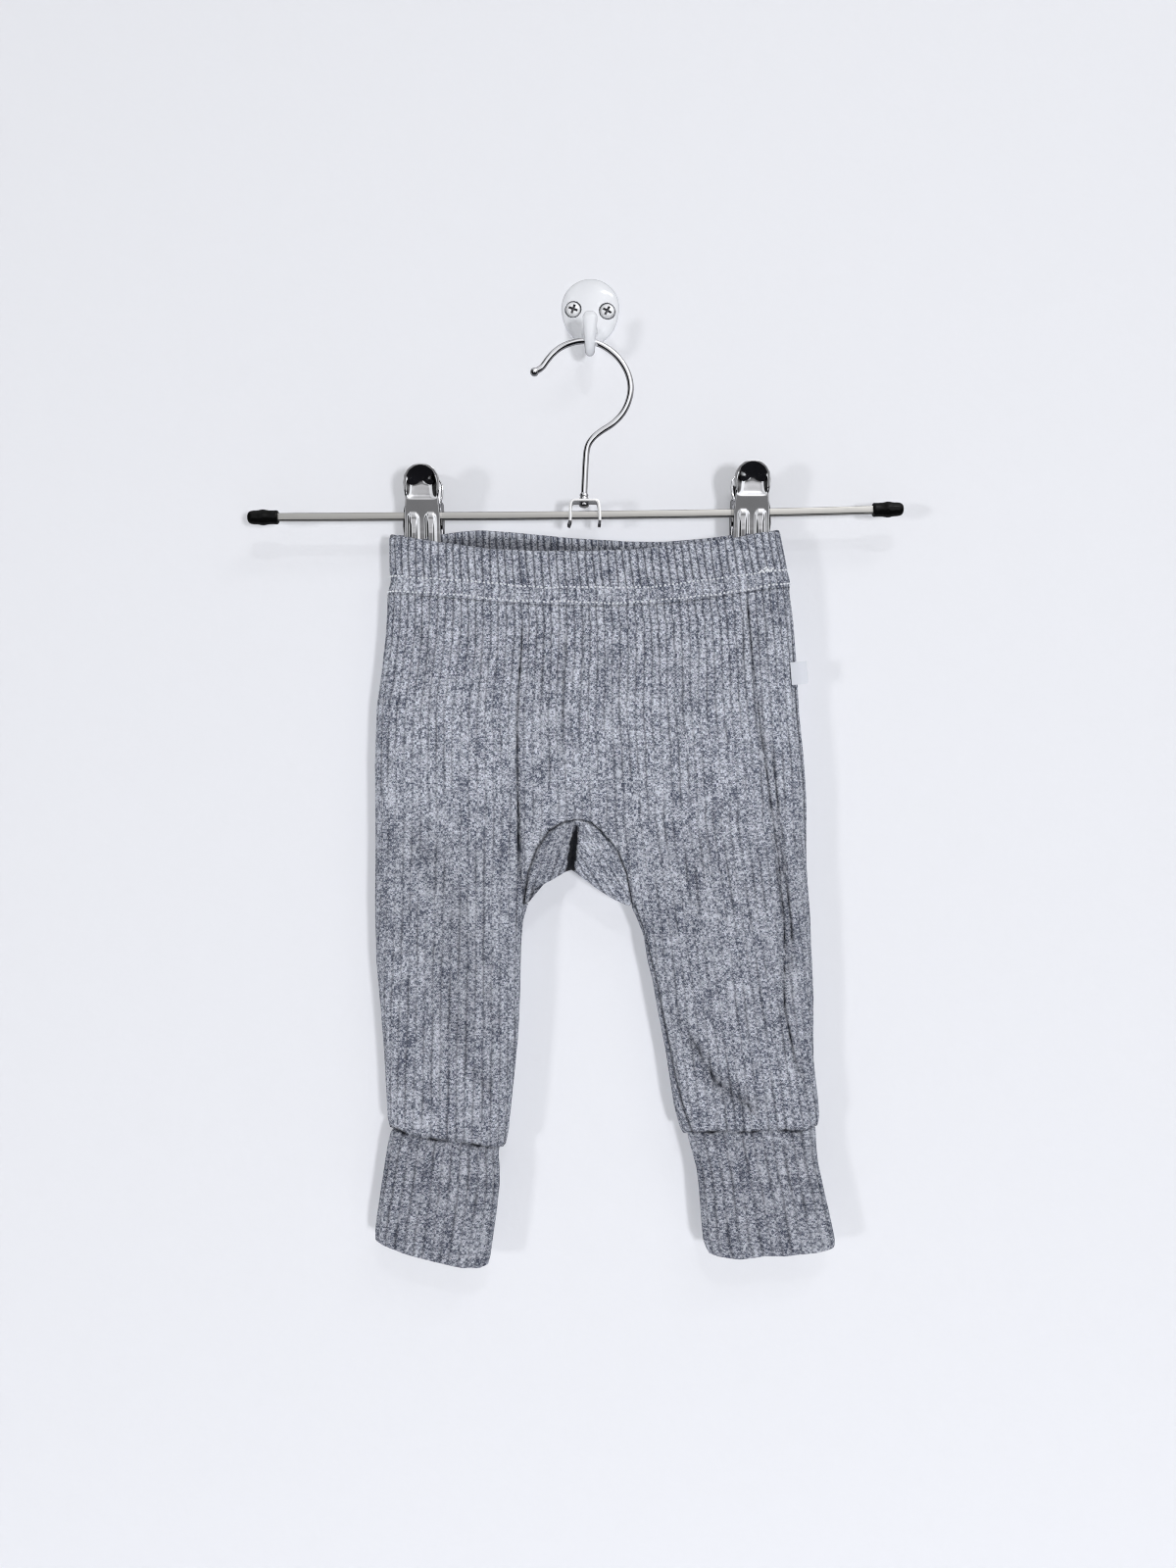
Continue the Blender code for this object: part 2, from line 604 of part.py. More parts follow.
def cuff(name, edges, seam, low):
    rows = []
    for t in [0.0, 0.07, 0.5, 0.94, 1.0]:
        pair = []
        left, right = table(edges, t, 1), table(edges, t, 2)
        deep = 6.0 + 0.5 * t
        for kind, inset, sides, per in [("outer", 0.0, 14, 2), ("inner", WALL, 10, 1)]:
            a = np.linspace(0, math.pi, 121)
            centre, half = (left + right) / 2, (right - left) / 2
            x = centre - (half - inset) * np.sign(np.cos(a)) * (
                1 - (1 - np.abs(np.cos(a))) ** 1.0)
            gap = half - inset - np.abs(x - centre)
            turn = np.sqrt(1 - (1 - np.clip(gap / (9.0 - inset), 0, 1)) ** 2)
            z = (table(seam, x) - SEAM) * (1 - t) + table(low, x) * t
            pinch = 1.0 - 0.12 * (1 - smooth(t / 0.2))
            y = (deep * pinch - inset) * turn
            front = np.stack([x, -20.0 - y, z], axis=1)
            back = np.stack([x, -20.0 + y, z], axis=1)
            rise = RIB_RISE if kind == "outer" and 0.0 < t < 1.0 else 0.0
            pair.append(loop(front, back, sides, per, rise))
        rows.append(tuple(pair))
    return ring(name, "rib_knit", rows)


def gusset():
    left = [(r[1], r[0], r[3], r[4]) for r in reversed(ARCH)]
    right = [(r[2], r[0], r[5], r[6]) for r in ARCH]
    columns = left + [ARCH_TOP] + right
    # the last columns stay clear of the leg rows below them
    columns[0] = (columns[0][0], CROTCH_Z + 0.4, columns[0][2], CROTCH_Z + 0.6)
    shares = [0.0, 0.3, 0.56, 0.78, 0.92, 1.0]
    shell = Shell()
    grids = []
    for inset in (0.0, WALL):
        lines = []
        for side, order in [("front", shares), ("back", shares[::-1][1:])]:
            for share in order:
                ax = np.array([c[0] for c in columns])
                az = np.array([c[1] for c in columns])
                nx = np.array([c[2] for c in columns])
                nz = np.array([c[3] for c in columns])
                length = np.maximum(np.hypot(nx - ax, nz - az), 0.5)
                lift = np.minimum(inset, 0.5 * length) / length
                nx = nx + (ax - nx) * lift
                nz = nz + (az - nz) * lift
                ax = ax + (nx - ax) / length * 2.2 * SEAM
                az = az + (nz - az) / length * 2.2 * SEAM
                x = ax + (nx - ax) * share
                z = az + (nz - az) * share
                if share == 1.0:
                    y = middle_y(z)
                else:
                    y = cloth_y(side, x, z, inset)
                    lean = 0.4 if side == "back" else -0.4
                    y = np.where(np.abs(y - middle_y(z)) < 0.4, middle_y(z) + lean, y)
                lines.append(shell.row(np.stack([x, y, z], axis=1)))
        grids.append(lines)
        for a, b in zip(lines[:-1], lines[1:]):
            for k in range(len(a) - 1):
                shell.faces.append((a[k], a[k + 1], b[k + 1], b[k]))
    outer, inner = grids
    for end in (0, -1):
        for k in range(len(outer[0]) - 1):
            shell.faces.append((outer[end][k], outer[end][k + 1], inner[end][k + 1],
                                inner[end][k]))
        for k in range(len(outer) - 1):
            shell.faces.append((outer[k][end], outer[k + 1][end], inner[k + 1][end],
                                inner[k][end]))
    return shell.build("gusset", "rib_knit")


def spline(points, count):
    """Smooth line through the points."""
    pts = [Vector(p) for p in points]
    pts = [pts[0] * 2 - pts[1]] + pts + [pts[-1] * 2 - pts[-2]]
    out = []
    spans = len(pts) - 3
    for k in range(count):
        t = k / (count - 1) * spans
        i = min(int(t), spans - 1)
        f = t - i
        a, b, c, d = pts[i:i + 4]
        out.append(0.5 * ((2 * b) + (c - a) * f + (2 * a - 5 * b + 4 * c - d) * f * f
                          + (3 * b - a - 3 * c + d) * f ** 3))
    return out


def sweep(path, sizes, sides=8, square=False, up=(0, 1, 0)):
    """Closed solid along a path; sizes are half extents (across, along up) per point."""
    shell = Shell()
    rows = []
    for k, point in enumerate(path):
        ahead = path[min(k + 1, len(path) - 1)] - path[max(k - 1, 0)]
        ahead.normalize()
        high = Vector(up)
        wide = ahead.cross(high).normalized()
        high = wide.cross(ahead).normalized()
        a, b = sizes[k]
        ring_points = []
        for m in range(sides):
            if square:
                ca = (1, -1, -1, 1)[m]
                cb = (1, 1, -1, -1)[m]
            else:
                ca = math.cos(2 * math.pi * (m + 0.5) / sides)
                cb = math.sin(2 * math.pi * (m + 0.5) / sides)
            ring_points.append(point + wide * a * ca + high * b * cb)
        rows.append(shell.row(ring_points))
    for a, b in zip(rows[:-1], rows[1:]):
        for m in range(sides):
            n = (m + 1) % sides
            shell.faces.append((a[m], a[n], b[n], b[m]))
    shell.faces.append(tuple(rows[0]))
    shell.faces.append(tuple(rows[-1][::-1]))
    return shell


def turned(profile_rows, centre, axis, sides=12):
    """Solid of revolution: rows are (distance along the axis, radius)."""
    shell = Shell()
    rows = []
    main = Vector(axis).normalized()
    side_a = main.orthogonal().normalized()
    side_b = main.cross(side_a)
    for along, radius in profile_rows:
        rows.append(shell.row([Vector(centre) + main * along
                               + side_a * radius * math.cos(2 * math.pi * m / sides)
                               + side_b * radius * math.sin(2 * math.pi * m / sides)
                               for m in range(sides)]))
    for a, b in zip(rows[:-1], rows[1:]):
        for m in range(sides):
            n = (m + 1) % sides
            shell.faces.append((a[m], a[n], b[n], b[m]))
    shell.faces.append(tuple(rows[0]))
    shell.faces.append(tuple(rows[-1][::-1]))
    return shell


def block(centre, half):
    x, y, z = centre
    a, b, c = half
    path = [Vector((x - a, y, z)), Vector((x + a, y, z))]
    return sweep(path, [(c, b), (c, b)], 4, True)


def bar_z(x):
    return float(table(BAR, x))


def wall_hook():
    shell = Shell()
    half = [(15.2 * math.cos(math.radians(a)), 0.9 + 15.2 * math.sin(math.radians(a)))
            for a in (90, 68, 46, 24, 4)]
    half += [(14.8, -4.0), (13.6, -8.0), (12.1, -11.0), (9.9, -14.0), (7.3, -16.6),
             (4.0, -18.4), (0.0, -19.0)]
    points = [(x + 0.3, z) for x, z in half] + [(0.3 - x, z) for x, z in reversed(half[1:-1])]
    rows = []
    for share, y in [(1.0, 0.0), (1.0, -1.0), (0.94, -2.2), (0.8, -3.3), (0.5, -4.2)]:
        rows.append(shell.row([(x * share, y, z * share) for x, z in points]))
    for a, b in zip(rows[:-1], rows[1:]):
        for m in range(len(a)):
            n = (m + 1) % len(a)
            shell.faces.append((a[m], a[n], b[n], b[m]))
    tip = shell.row([(0, -4.5, 0)])[0]
    root = shell.row([(0, 0, 0.4)])[0]
    for m in range(len(points)):
        n = (m + 1) % len(points)
        shell.faces.append((rows[-1][m], rows[-1][n], tip))
        shell.faces.append((rows[0][n], rows[0][m], root))
    plate = shell.build("plate", "enamel", 0)
    path = spline([(0, -0.8, -11.0), (0, -6.0, -15.4), (0, -12.6, -23.6), (0, -19.5, -28.1),
                   (0, -24.8, -26.4), (0, -27.6, -21.0), (0, -28.6, -15.6), (0, -29.0, -11.4)], 15)
    wide = [4.6, 4.1, 3.5, 3.1, 2.8, 2.6, 2.6, 2.6, 2.7, 2.9, 3.2, 3.5, 3.8, 3.9, 2.8]
    deep = [4.4, 4.0, 3.5, 3.2, 3.0, 2.9, 2.9, 2.8, 2.7, 2.6, 2.5, 2.4, 2.3, 2.0, 1.2]
    prong = sweep(path, [(d, w) for w, d in zip(wide, deep)], 10, up=(1, 0, 0))
    combine(plate, prong.build("prong", "enamel", 0), "UNION")
    combine(plate, block((0, 6, -10), (30, 6, 30)).build("behind", "enamel", 0), "DIFFERENCE")
    for x, z in [(-8.9, -0.9), (9.2, -1.8)]:
        well = turned([(0.6, 2.1), (-1.4, 2.1), (-1.401, 4.4), (-9.0, 4.4)], (x, 0, z), (0, 1, 0), 14)
        combine(plate, well.build("well", "enamel", 0), "DIFFERENCE")
    finish(plate, "wall_hook", "enamel")


def screws():
    for name, x, z, turn in [("wall_hook_screw_left", -8.9, -0.9, 20),
                             ("wall_hook_screw_right", 9.2, -1.8, 20)]:
        head = turned([(-0.3, 1.7), (-1.7, 1.7), (-1.701, 3.9), (-3.5, 4.05), (-4.0, 3.8),
                       (-4.35, 2.6)], (x, 0, z), (0, 1, 0), 14).build("head", "screw_steel", 0)
        for angle in (turn, turn + 90):
            a = math.radians(angle)
            step = Vector((math.cos(a), 0, math.sin(a))) * 1.9
            mid = Vector((x, -4.2, z))
            cut = sweep([mid - step, mid + step], [(0.45, 0.9)] * 2, 4, True).build(
                "cut", "screw_steel", 0)
            combine(head, cut, "DIFFERENCE")
        finish(head, name, "screw_steel")


def hanger_hook():
    path = [Vector((x, BAR_Y, z)) for x, z in HOOK]
    path = spline(path, 34)
    wire = sweep(path, [(0.6, 0.6)] + [(WIRE_R, WIRE_R)] * 33, 8).build("wire", "chrome")
    ball = turned([(-2.2, 0.6), (-1.6, 1.7), (-0.3, 2.3), (1.1, 1.9), (2.1, 0.6)],
                  (-28.9, BAR_Y, -33.0), (1, 0, 0.6), 10)
    combine(wire, ball.build("ball", "chrome"), "UNION")
    foot = turned([(4.2, 1.2), (3.0, 2.3), (0.7, 2.5), (0.699, 1.5), (-1.5, 1.5),
                   (-1.501, 2.7), (-3.0, 2.5), (-3.6, 1.2)], (RIVET_X, BAR_Y, -100.0), (0, 0, 1), 12)
    combine(wire, foot.build("foot", "chrome"), "UNION")
    finish(wire, "hanger_hook", "chrome")


def hook_bracket():
    line = [(-11.1, -113.1), (-10.6, -111.9), (-10.2, -110.6), (-10.2, -105.5), (-10.0, -102.4),
            (-9.4, -101.0), (-8.2, -100.4), (2.8, -100.4), (3.9, -100.8), (4.5, -102.2),
            (4.95, -106.5), (5.1, -109.9), (5.0, -111.4), (4.8, -112.9)]
    path = [Vector((x, BAR_Y, z)) for x, z in line]
    strap = sweep(path, [(0.7, 4.3)] * len(path), 4, True).build("strap", "chrome")
    combine(strap, block((-3.0, BAR_Y, bar_z(-3)), (12, 2.35, 2.35)).build("slot", "chrome"),
            "DIFFERENCE")
    hole = turned([(-3, 1.85), (3, 1.85)], (RIVET_X, BAR_Y, -100.5), (0, 0, 1), 12)
    combine(strap, hole.build("hole", "chrome"), "DIFFERENCE")
    finish(strap, "hook_bracket", "chrome")


def bar_and_caps():
    ends = [-172.0, -150, -128, -107, -86, -65, -44, -23, -2, 20, 42, 64, 86, 104, 122, 140, 157.0]
    slope_l = (BAR[1][1] - BAR[0][1]) / (BAR[1][0] - BAR[0][0])
    slope_r = (BAR[-1][1] - BAR[-2][1]) / (BAR[-1][0] - BAR[-2][0])

    def height(x):
        if x < BAR[0][0]:
            return BAR[0][1] + (x - BAR[0][0]) * slope_l
        if x > BAR[-1][0]:
            return BAR[-1][1] + (x - BAR[-1][0]) * slope_r
        return bar_z(x)
    path = [Vector((x, BAR_Y, height(x))) for x in ends]
    sweep(path, [(BAR_HALF, BAR_HALF)] * len(path), 4, True).build("hanger_bar", "brushed_nickel")
    for name, tip, sign in [("bar_cap_left", -178.2, 1), ("bar_cap_right", 163.1, -1)]:
        steps = [(0.0, 1.4), (0.9, 2.9), (2.4, 3.5), (5.6, 3.9), (8.0, 4.1), (10.4, 3.7),
                 (15.2, 3.5), (16.0, 3.1)]
        path = [Vector((tip + sign * s, BAR_Y, height(tip + sign * s))) for s, _ in steps]
        cap = sweep(path, [(r, r) for _, r in steps], 12).build("cap", "rubber")
        mouth = tip + sign * 18.0
        inside = (-172.0 - 0.4) if sign > 0 else (157.0 + 0.4)
        path = [Vector((x, BAR_Y, height(x))) for x in (inside, mouth)]
        cut = sweep(path, [(BAR_HALF + 0.3, BAR_HALF + 0.3)] * 2, 4, True).build("cut", "rubber")
        combine(cap, cut, "DIFFERENCE")
        finish(cap, name, "rubber")


def leaf(name, x, z0, turn, fluted):
    """One stamped half of a clip; turn is -1 for the front half and 1 for the rear half."""
    shell = Shell()
    shares = [-0.84, -0.68, -0.51, -0.34, -0.17, 0.0, 0.17, 0.34, 0.51, 0.68, 0.84]
    if not fluted:
        shares = [-0.75, -0.4, 0.0, 0.4, 0.75]
    plain = [-0.6, 0.0, 0.6]
    outer = []
    inner = []
    for z, half, deep, flange, pressed in LEAF:
        if turn > 0:
            half = half + (1.3 if z < 9.0 else 0.0)
        elif z < -8:
            deep = deep + 0.4
            flange = flange + 0.4
        lines = []
        for kind in ("outer", "inner"):
            skin = 0.0 if kind == "outer" else LEAF_WALL
            w = max(half - skin, 0.7)
            across = shares if kind == "outer" else plain
            points = [(-w, flange)]
            points.append((-w, deep - skin - 0.25))
            for u in across:
                dish = pressed * max(0.0, 1 - (abs(u) / 0.86) ** 4)
                flute = 0.0
                if kind == "outer" and fluted and z < 0 and 0.3 < abs(u) < 0.7:
                    flute = 0.55 if abs(abs(u) - 0.51) > 0.1 else -0.05
                points.append((w * u, deep - skin - dish + flute))
            points.append((w, deep - skin - 0.25))
            points.append((w, flange))
            lines.append(shell.row([(x + px, BAR_Y + turn * q, z0 + z) for px, q in points]))
        outer.append(lines[0])
        inner.append(lines[1])
    for a, b in list(zip(outer[:-1], outer[1:])) + list(zip(inner[:-1], inner[1:])):
        for k in range(len(a) - 1):
            shell.faces.append((a[k], a[k + 1], b[k + 1], b[k]))
    for k in range(len(outer) - 1):
        for end in (0, -1):
            shell.faces.append((outer[k][end], outer[k + 1][end], inner[k + 1][end],
                                inner[k][end]))
    for end in (0, -1):
        a, b = outer[end], inner[end]
        ua = np.array([0, 10] + [50 + 38 * u for u in shares] + [90, 100])
        ub = np.array([0, 10] + [50 + 38 * u for u in plain] + [90, 100])
        shell.zip(a, ua, b, ub)
    made = shell.build("leaf", "chrome")
    slot = block((x, BAR_Y, z0), (14, BAR_HALF + 0.4, BAR_HALF + 0.5)).build("slot", "chrome")
    combine(made, slot, "DIFFERENCE")
    finish(made, name, "chrome")


def clip_spring(name, x, z0):
    """Torsion spring round the bar with one arm under each handle."""
    path = [Vector((x - 2.2, BAR_Y - 6.4, z0 + 8.0))]
    turns = 2.5
    count = 23
    for k in range(count):
        a = math.pi + 2 * math.pi * turns * k / (count - 1)
        path.append(Vector((x - 2.2 + 4.4 * k / (count - 1), BAR_Y + 4.0 * math.cos(a),
                            z0 + 4.0 * math.sin(a))))
    path.append(Vector((x + 2.2, BAR_Y + 6.4, z0 + 8.0)))
    shell = sweep(path, [(0.5, 0.5)] * len(path), 5, up=(1, 0, 0))
    return shell.build(name, "chrome")


def side_label():
    """Folded tab sewn into the right side seam."""
    outline = [(102.9, -184.8), (111.9, -183.8), (112.7, -195.4), (103.8, -196.4)]
    shell = Shell()
    rows = []
    for share, y in [(0.0, -28.8), (0.22, -27.5), (0.5, -26.0), (1.0, -25.0)]:
        top = [outline[0][k] + (outline[1][k] - outline[0][k]) * share for k in (0, 1)]
        low = [outline[3][k] + (outline[2][k] - outline[3][k]) * share for k in (0, 1)]
        rows.append(shell.row([(top[0], y, top[1]), (low[0], y, low[1]),
                               (low[0], y + 0.8, low[1]), (top[0], y + 0.8, top[1])]))
    for a, b in zip(rows[:-1], rows[1:]):
        for m in range(4):
            n = (m + 1) % 4
            shell.faces.append((a[m], a[n], b[n], b[m]))
    shell.faces.append(tuple(rows[0]))
    shell.faces.append(tuple(rows[-1][::-1]))
    return shell.build("side_label", "label_tape")


waistband()
panel("front", "front_panel")
panel("back", "back_panel")
gusset()
cuff("cuff_left", CUFF_LEFT, CUFF_SEAM_LEFT, CUFF_LOW_LEFT)
cuff("cuff_right", CUFF_RIGHT, CUFF_SEAM_RIGHT, CUFF_LOW_RIGHT)
side_label()
bar_and_caps()
hook_bracket()
hanger_hook()
for which, clip_x in CLIP_X.items():
    level_z = bar_z(clip_x)
    leaf("clip_" + which + "_front", clip_x, level_z, -1, True)
    leaf("clip_" + which + "_back", clip_x, level_z, 1, False)
    clip_spring("clip_" + which + "_spring", clip_x, level_z)
wall_hook()
screws()
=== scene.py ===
import math

import bmesh
import bpy
import numpy as np
from bpy.props import (FloatProperty, FloatVectorProperty, IntProperty,
                       PointerProperty)
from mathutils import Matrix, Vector


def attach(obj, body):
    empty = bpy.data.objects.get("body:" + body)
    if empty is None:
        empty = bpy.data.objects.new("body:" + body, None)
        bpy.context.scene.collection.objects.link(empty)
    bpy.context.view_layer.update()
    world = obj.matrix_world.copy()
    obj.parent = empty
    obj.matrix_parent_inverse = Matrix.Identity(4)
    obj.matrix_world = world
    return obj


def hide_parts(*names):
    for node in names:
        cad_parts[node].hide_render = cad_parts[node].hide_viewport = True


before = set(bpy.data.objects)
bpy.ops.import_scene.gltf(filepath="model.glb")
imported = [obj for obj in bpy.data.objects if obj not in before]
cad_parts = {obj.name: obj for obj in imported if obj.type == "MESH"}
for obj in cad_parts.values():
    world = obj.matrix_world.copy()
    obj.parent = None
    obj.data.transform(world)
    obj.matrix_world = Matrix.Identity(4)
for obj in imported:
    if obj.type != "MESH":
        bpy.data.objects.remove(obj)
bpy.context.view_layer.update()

bl_info = {
    "name": "Ribbed Leggings on a Clip Hanger",
    "version": (1, 0, 0),
    "blender": (4, 5, 0),
    "location": "View3D > Sidebar > Leggings",
    "description": "Dresses the leggings, their clip hanger and the wall hook",
    "category": "Object",
}

MM = 0.001
DROP = 6.4      # heights of the cloth and the hanger count from this far below the origin

LIGHTS_AIM = Vector((0, -0.02, -0.26))
STREAK_POWER = 5.0
FILL = (0.97, 0.98, 1.0)        # colour of the room's even light

# Places on the front are written as they look from the front at the middle plane of the
# cloth, and are drawn in towards the eye line for their real depth.
EYE_X = -1.0
EYE_Z = -247.3
EYE_AWAY = 700.0
MIDDLE = -20.0


def seen(x, z, y):
    """Where a place that looks to be at x, z lies when its depth is y."""
    k = (y - MIDDLE + EYE_AWAY) / EYE_AWAY
    return EYE_X + (x - EYE_X) * k, EYE_Z + (z - EYE_Z) * k


# ---------------------------------------------------------------- cloth, in millimetres
WALL = 1.9              # wall between a groove and the inside
RIBS = 56               # ribs from side seam to side seam
PITCH = 3.7             # width of one rib on the texture map
SEAM = 0.05             # half of the gap at a seam
BAND_Z = -150.0         # about where the waistband ends
LEG_X = 70.0            # about the middle of each leg
FOLDED = 0.95           # height of the round of a folded edge
BAND_HIGH = 29.0        # height of the waistband
ROWS = (1.6, 9.2)       # the two rows of sewing, over the waistband's lower edge
CUFF_RIBS = 14          # ribs on one side of a cuff
ARCH_Z = -265.2         # top of the crotch seam
CROTCH_Z = -309.2       # level at which the two legs part
GRAIN_LEFT = -0.02      # sideways lean of the ribs, per millimetre down
GRAIN_RIGHT = 0.13

SIDE_LEFT = [(-112, -103.6), (-133, -103.5), (-143, -103.0), (-148, -104.4), (-157, -104.6),
             (-172, -105.8), (-192, -108.4), (-207, -110.6), (-238, -111.7), (-277, -111.3),
             (-308, -111.7), (-338, -111.0), (-363, -108.8), (-387, -106.9), (-411, -105.7),
             (-420, -105.2), (-425, -104.2), (-429, -102.6), (-434, -101.0)]
SIDE_RIGHT = [(-112, 97.4), (-120, 98.6), (-134, 101.4), (-142, 103.4), (-148, 103.1),
              (-163, 105.0), (-181, 106.6), (-211, 108.6), (-235, 111.0), (-256, 112.4),
              (-280, 112.3), (-296, 112.9), (-316, 114.4), (-330, 114.9), (-356, 116.1),
              (-390, 116.2), (-405, 118.0), (-415, 119.0), (-421, 119.1), (-426, 118.0),
              (-430, 116.8), (-434, 116.2)]
INNER_LEFT = [(-302.4, -29.1), (-310.8, -32.4), (-318.8, -34.7), (-331.5, -35.8),
              (-354, -36.2), (-375, -37.0), (-395, -38.9), (-405, -39.9), (-419, -41.5),
              (-428, -42.3), (-434, -43.6), (-438, -46.6)]
INNER_RIGHT = [(-311.6, 21.9), (-317, 24.5), (-326, 28.0), (-339, 30.1), (-349, 32.6),
               (-369, 36.2), (-386, 39.6), (-398, 41.4), (-415, 44.0), (-426, 47.0),
               (-431, 50.0), (-436, 51.5)]
NOTCH = [(-29.1, -302.4), (-23.5, -299.3), (-17.9, -296.3), (-13.0, -293.2), (-10.2, -292.2),
         (-6.5, -294.0), (1.0, -300.1), (10.7, -306.5), (21.9, -311.6)]
# crotch seam at the two sides of its top: (z, left x, right x, notch x and z on each side)
ARCH = [(-267.0, -14.2, 0.2, -11.4, -292.6, -7.6, -293.4),
        (-271.5, -20.8, 5.4, -13.6, -293.6, -2.6, -297.2),
        (-280.0, -27.0, 13.2, -18.4, -296.5, 5.0, -302.8),
        (-293.0, -31.8, 18.6, -24.2, -299.7, 12.8, -307.6),
        (CROTCH_Z, -33.9, 21.6, -31.6, -308.6, 20.2, -310.9)]
ARCH_TOP = (-6.2, ARCH_Z, -9.6, -292.1)
INSEAM_RIGHT = [(-309, 22.4), (-322, 27.4), (-341, 32.2), (-353, 35.3), (-365, 37.2),
                (-382, 40.8), (-398, 43.9), (-414, 47.9), (-427, 52.2), (-436, 54.5)]
SIDE_SEAM = [(-140, 0.0), (-160, 0.5), (-185, 1.4), (-222, 1.4), (-262, 1.1), (-290, 0.0)]
BAND_TOP_FRONT = [(-104, -117.8), (-95, -118.8), (-77.5, -121.6), (-52, -125.0),
                  (-26, -126.0), (-1, -126.0), (24.5, -125.0), (50, -121.9), (75.5, -119.2),
                  (88, -116.6), (99, -115.4)]
BAND_TOP_BACK = [(-104, -117.8), (-90, -118.2), (-76, -117.4), (-66, -116.0), (-57, -115.3),
                 (-42, -116.3), (-26, -117.8), (-11, -119.3), (20, -121.2), (40, -121.3),
                 (60, -119.6), (80, -117.0), (99, -115.4)]
BAND_LOW = [(-105, -147.9), (-76, -150.2), (-46, -152.8), (-23.5, -154.2), (6.6, -154.7),
            (36, -153.7), (58.6, -151.2), (81, -147.6), (104, -144.3)]
CUFF_SEAM_LEFT = [(-102.5, -427.3), (-99, -428.2), (-95, -429.9), (-87, -431.4), (-80, -432.4),
                  (-71, -433.4), (-63, -434.6), (-50.5, -437.0), (-46, -437.4)]
CUFF_SEAM_RIGHT = [(50, -430.4), (54, -429.0), (64, -428.4), (73, -428.0), (82, -428.4),
                   (90, -427.5), (98, -427.4), (110, -428.3), (117, -426.4)]
CUFF_LEFT = [(0.0, -102.0, -46.9), (0.06, -103.6, -48.0), (0.2, -105.2, -47.4),
             (0.36, -106.7, -47.6), (0.55, -108.4, -48.8), (0.76, -110.2, -50.6),
             (0.93, -111.2, -52.0), (1.0, -111.0, -53.2)]
CUFF_RIGHT = [(0.0, 50.6, 116.9), (0.14, 52.9, 117.1), (0.3, 55.6, 118.2),
              (0.46, 56.9, 120.5), (0.68, 57.9, 123.6), (0.9, 59.2, 126.4),
              (0.97, 60.8, 126.9), (1.0, 62.0, 126.6)]
CUFF_LOW_LEFT = [(-111.5, -484.8), (-107, -487.6), (-97, -491.8), (-81, -496.3), (-66, -499.6),
                 (-57, -499.6), (-53, -497.4)]
CUFF_LOW_RIGHT = [(61.5, -491.6), (66, -493.5), (72, -494.4), (77.5, -495.2), (84, -494.4),
                  (90, -493.4), (101, -493.4), (116, -491.8), (124, -490.0), (127, -488.2)]

BAND_TOP_FRONT = [seen(x, z, -30.0) for x, z in BAND_TOP_FRONT]
BAND_LOW = [seen(x, z, -31.0) for x, z in BAND_LOW]
CUFF_SEAM_LEFT = [seen(x, z, -27.0) for x, z in CUFF_SEAM_LEFT]
CUFF_SEAM_RIGHT = [seen(x, z, -27.0) for x, z in CUFF_SEAM_RIGHT]
INSEAM_RIGHT = [seen(x, z, -27.0)[::-1] for z, x in INSEAM_RIGHT]

ARCH_PATH = ([(r[1], r[0]) for r in reversed(ARCH)] + [ARCH_TOP[:2]]
             + [(r[2], r[0]) for r in ARCH])
# round of a folded edge: (share of the wall taken in, drop below the edge)
FOLD = [(0.5, 0.0), (0.25, 0.12), (0.08, 0.4), (0.0, FOLDED)]
# small tacks in the waistband: (x, height over its lower edge, slant)
TACKS = [(87.4, 9.6, 1.0), (88.6, 9.2, -1.0), (90.4, 9.8, 1.0), (91.6, 9.4, -1.0),
         (93.2, 9.9, 1.1), (89.8, 10.9, 0.8)]
TACK_LONG = 2.3
# side tab: its corners from the seam's top on, and its front half as (share out, depth)
TAB_CORNERS = [(102.9, -184.8), (111.9, -183.8), (112.7, -195.4), (103.8, -196.4)]
TAB_FOLD = [(0.0, -28.75), (0.1, -28.2), (0.22, -27.5), (0.36, -26.75), (0.5, -26.05),
            (0.65, -25.55), (0.8, -25.25), (0.92, -25.12), (0.975, -25.06)]
TAB_DEPTH = 0.72
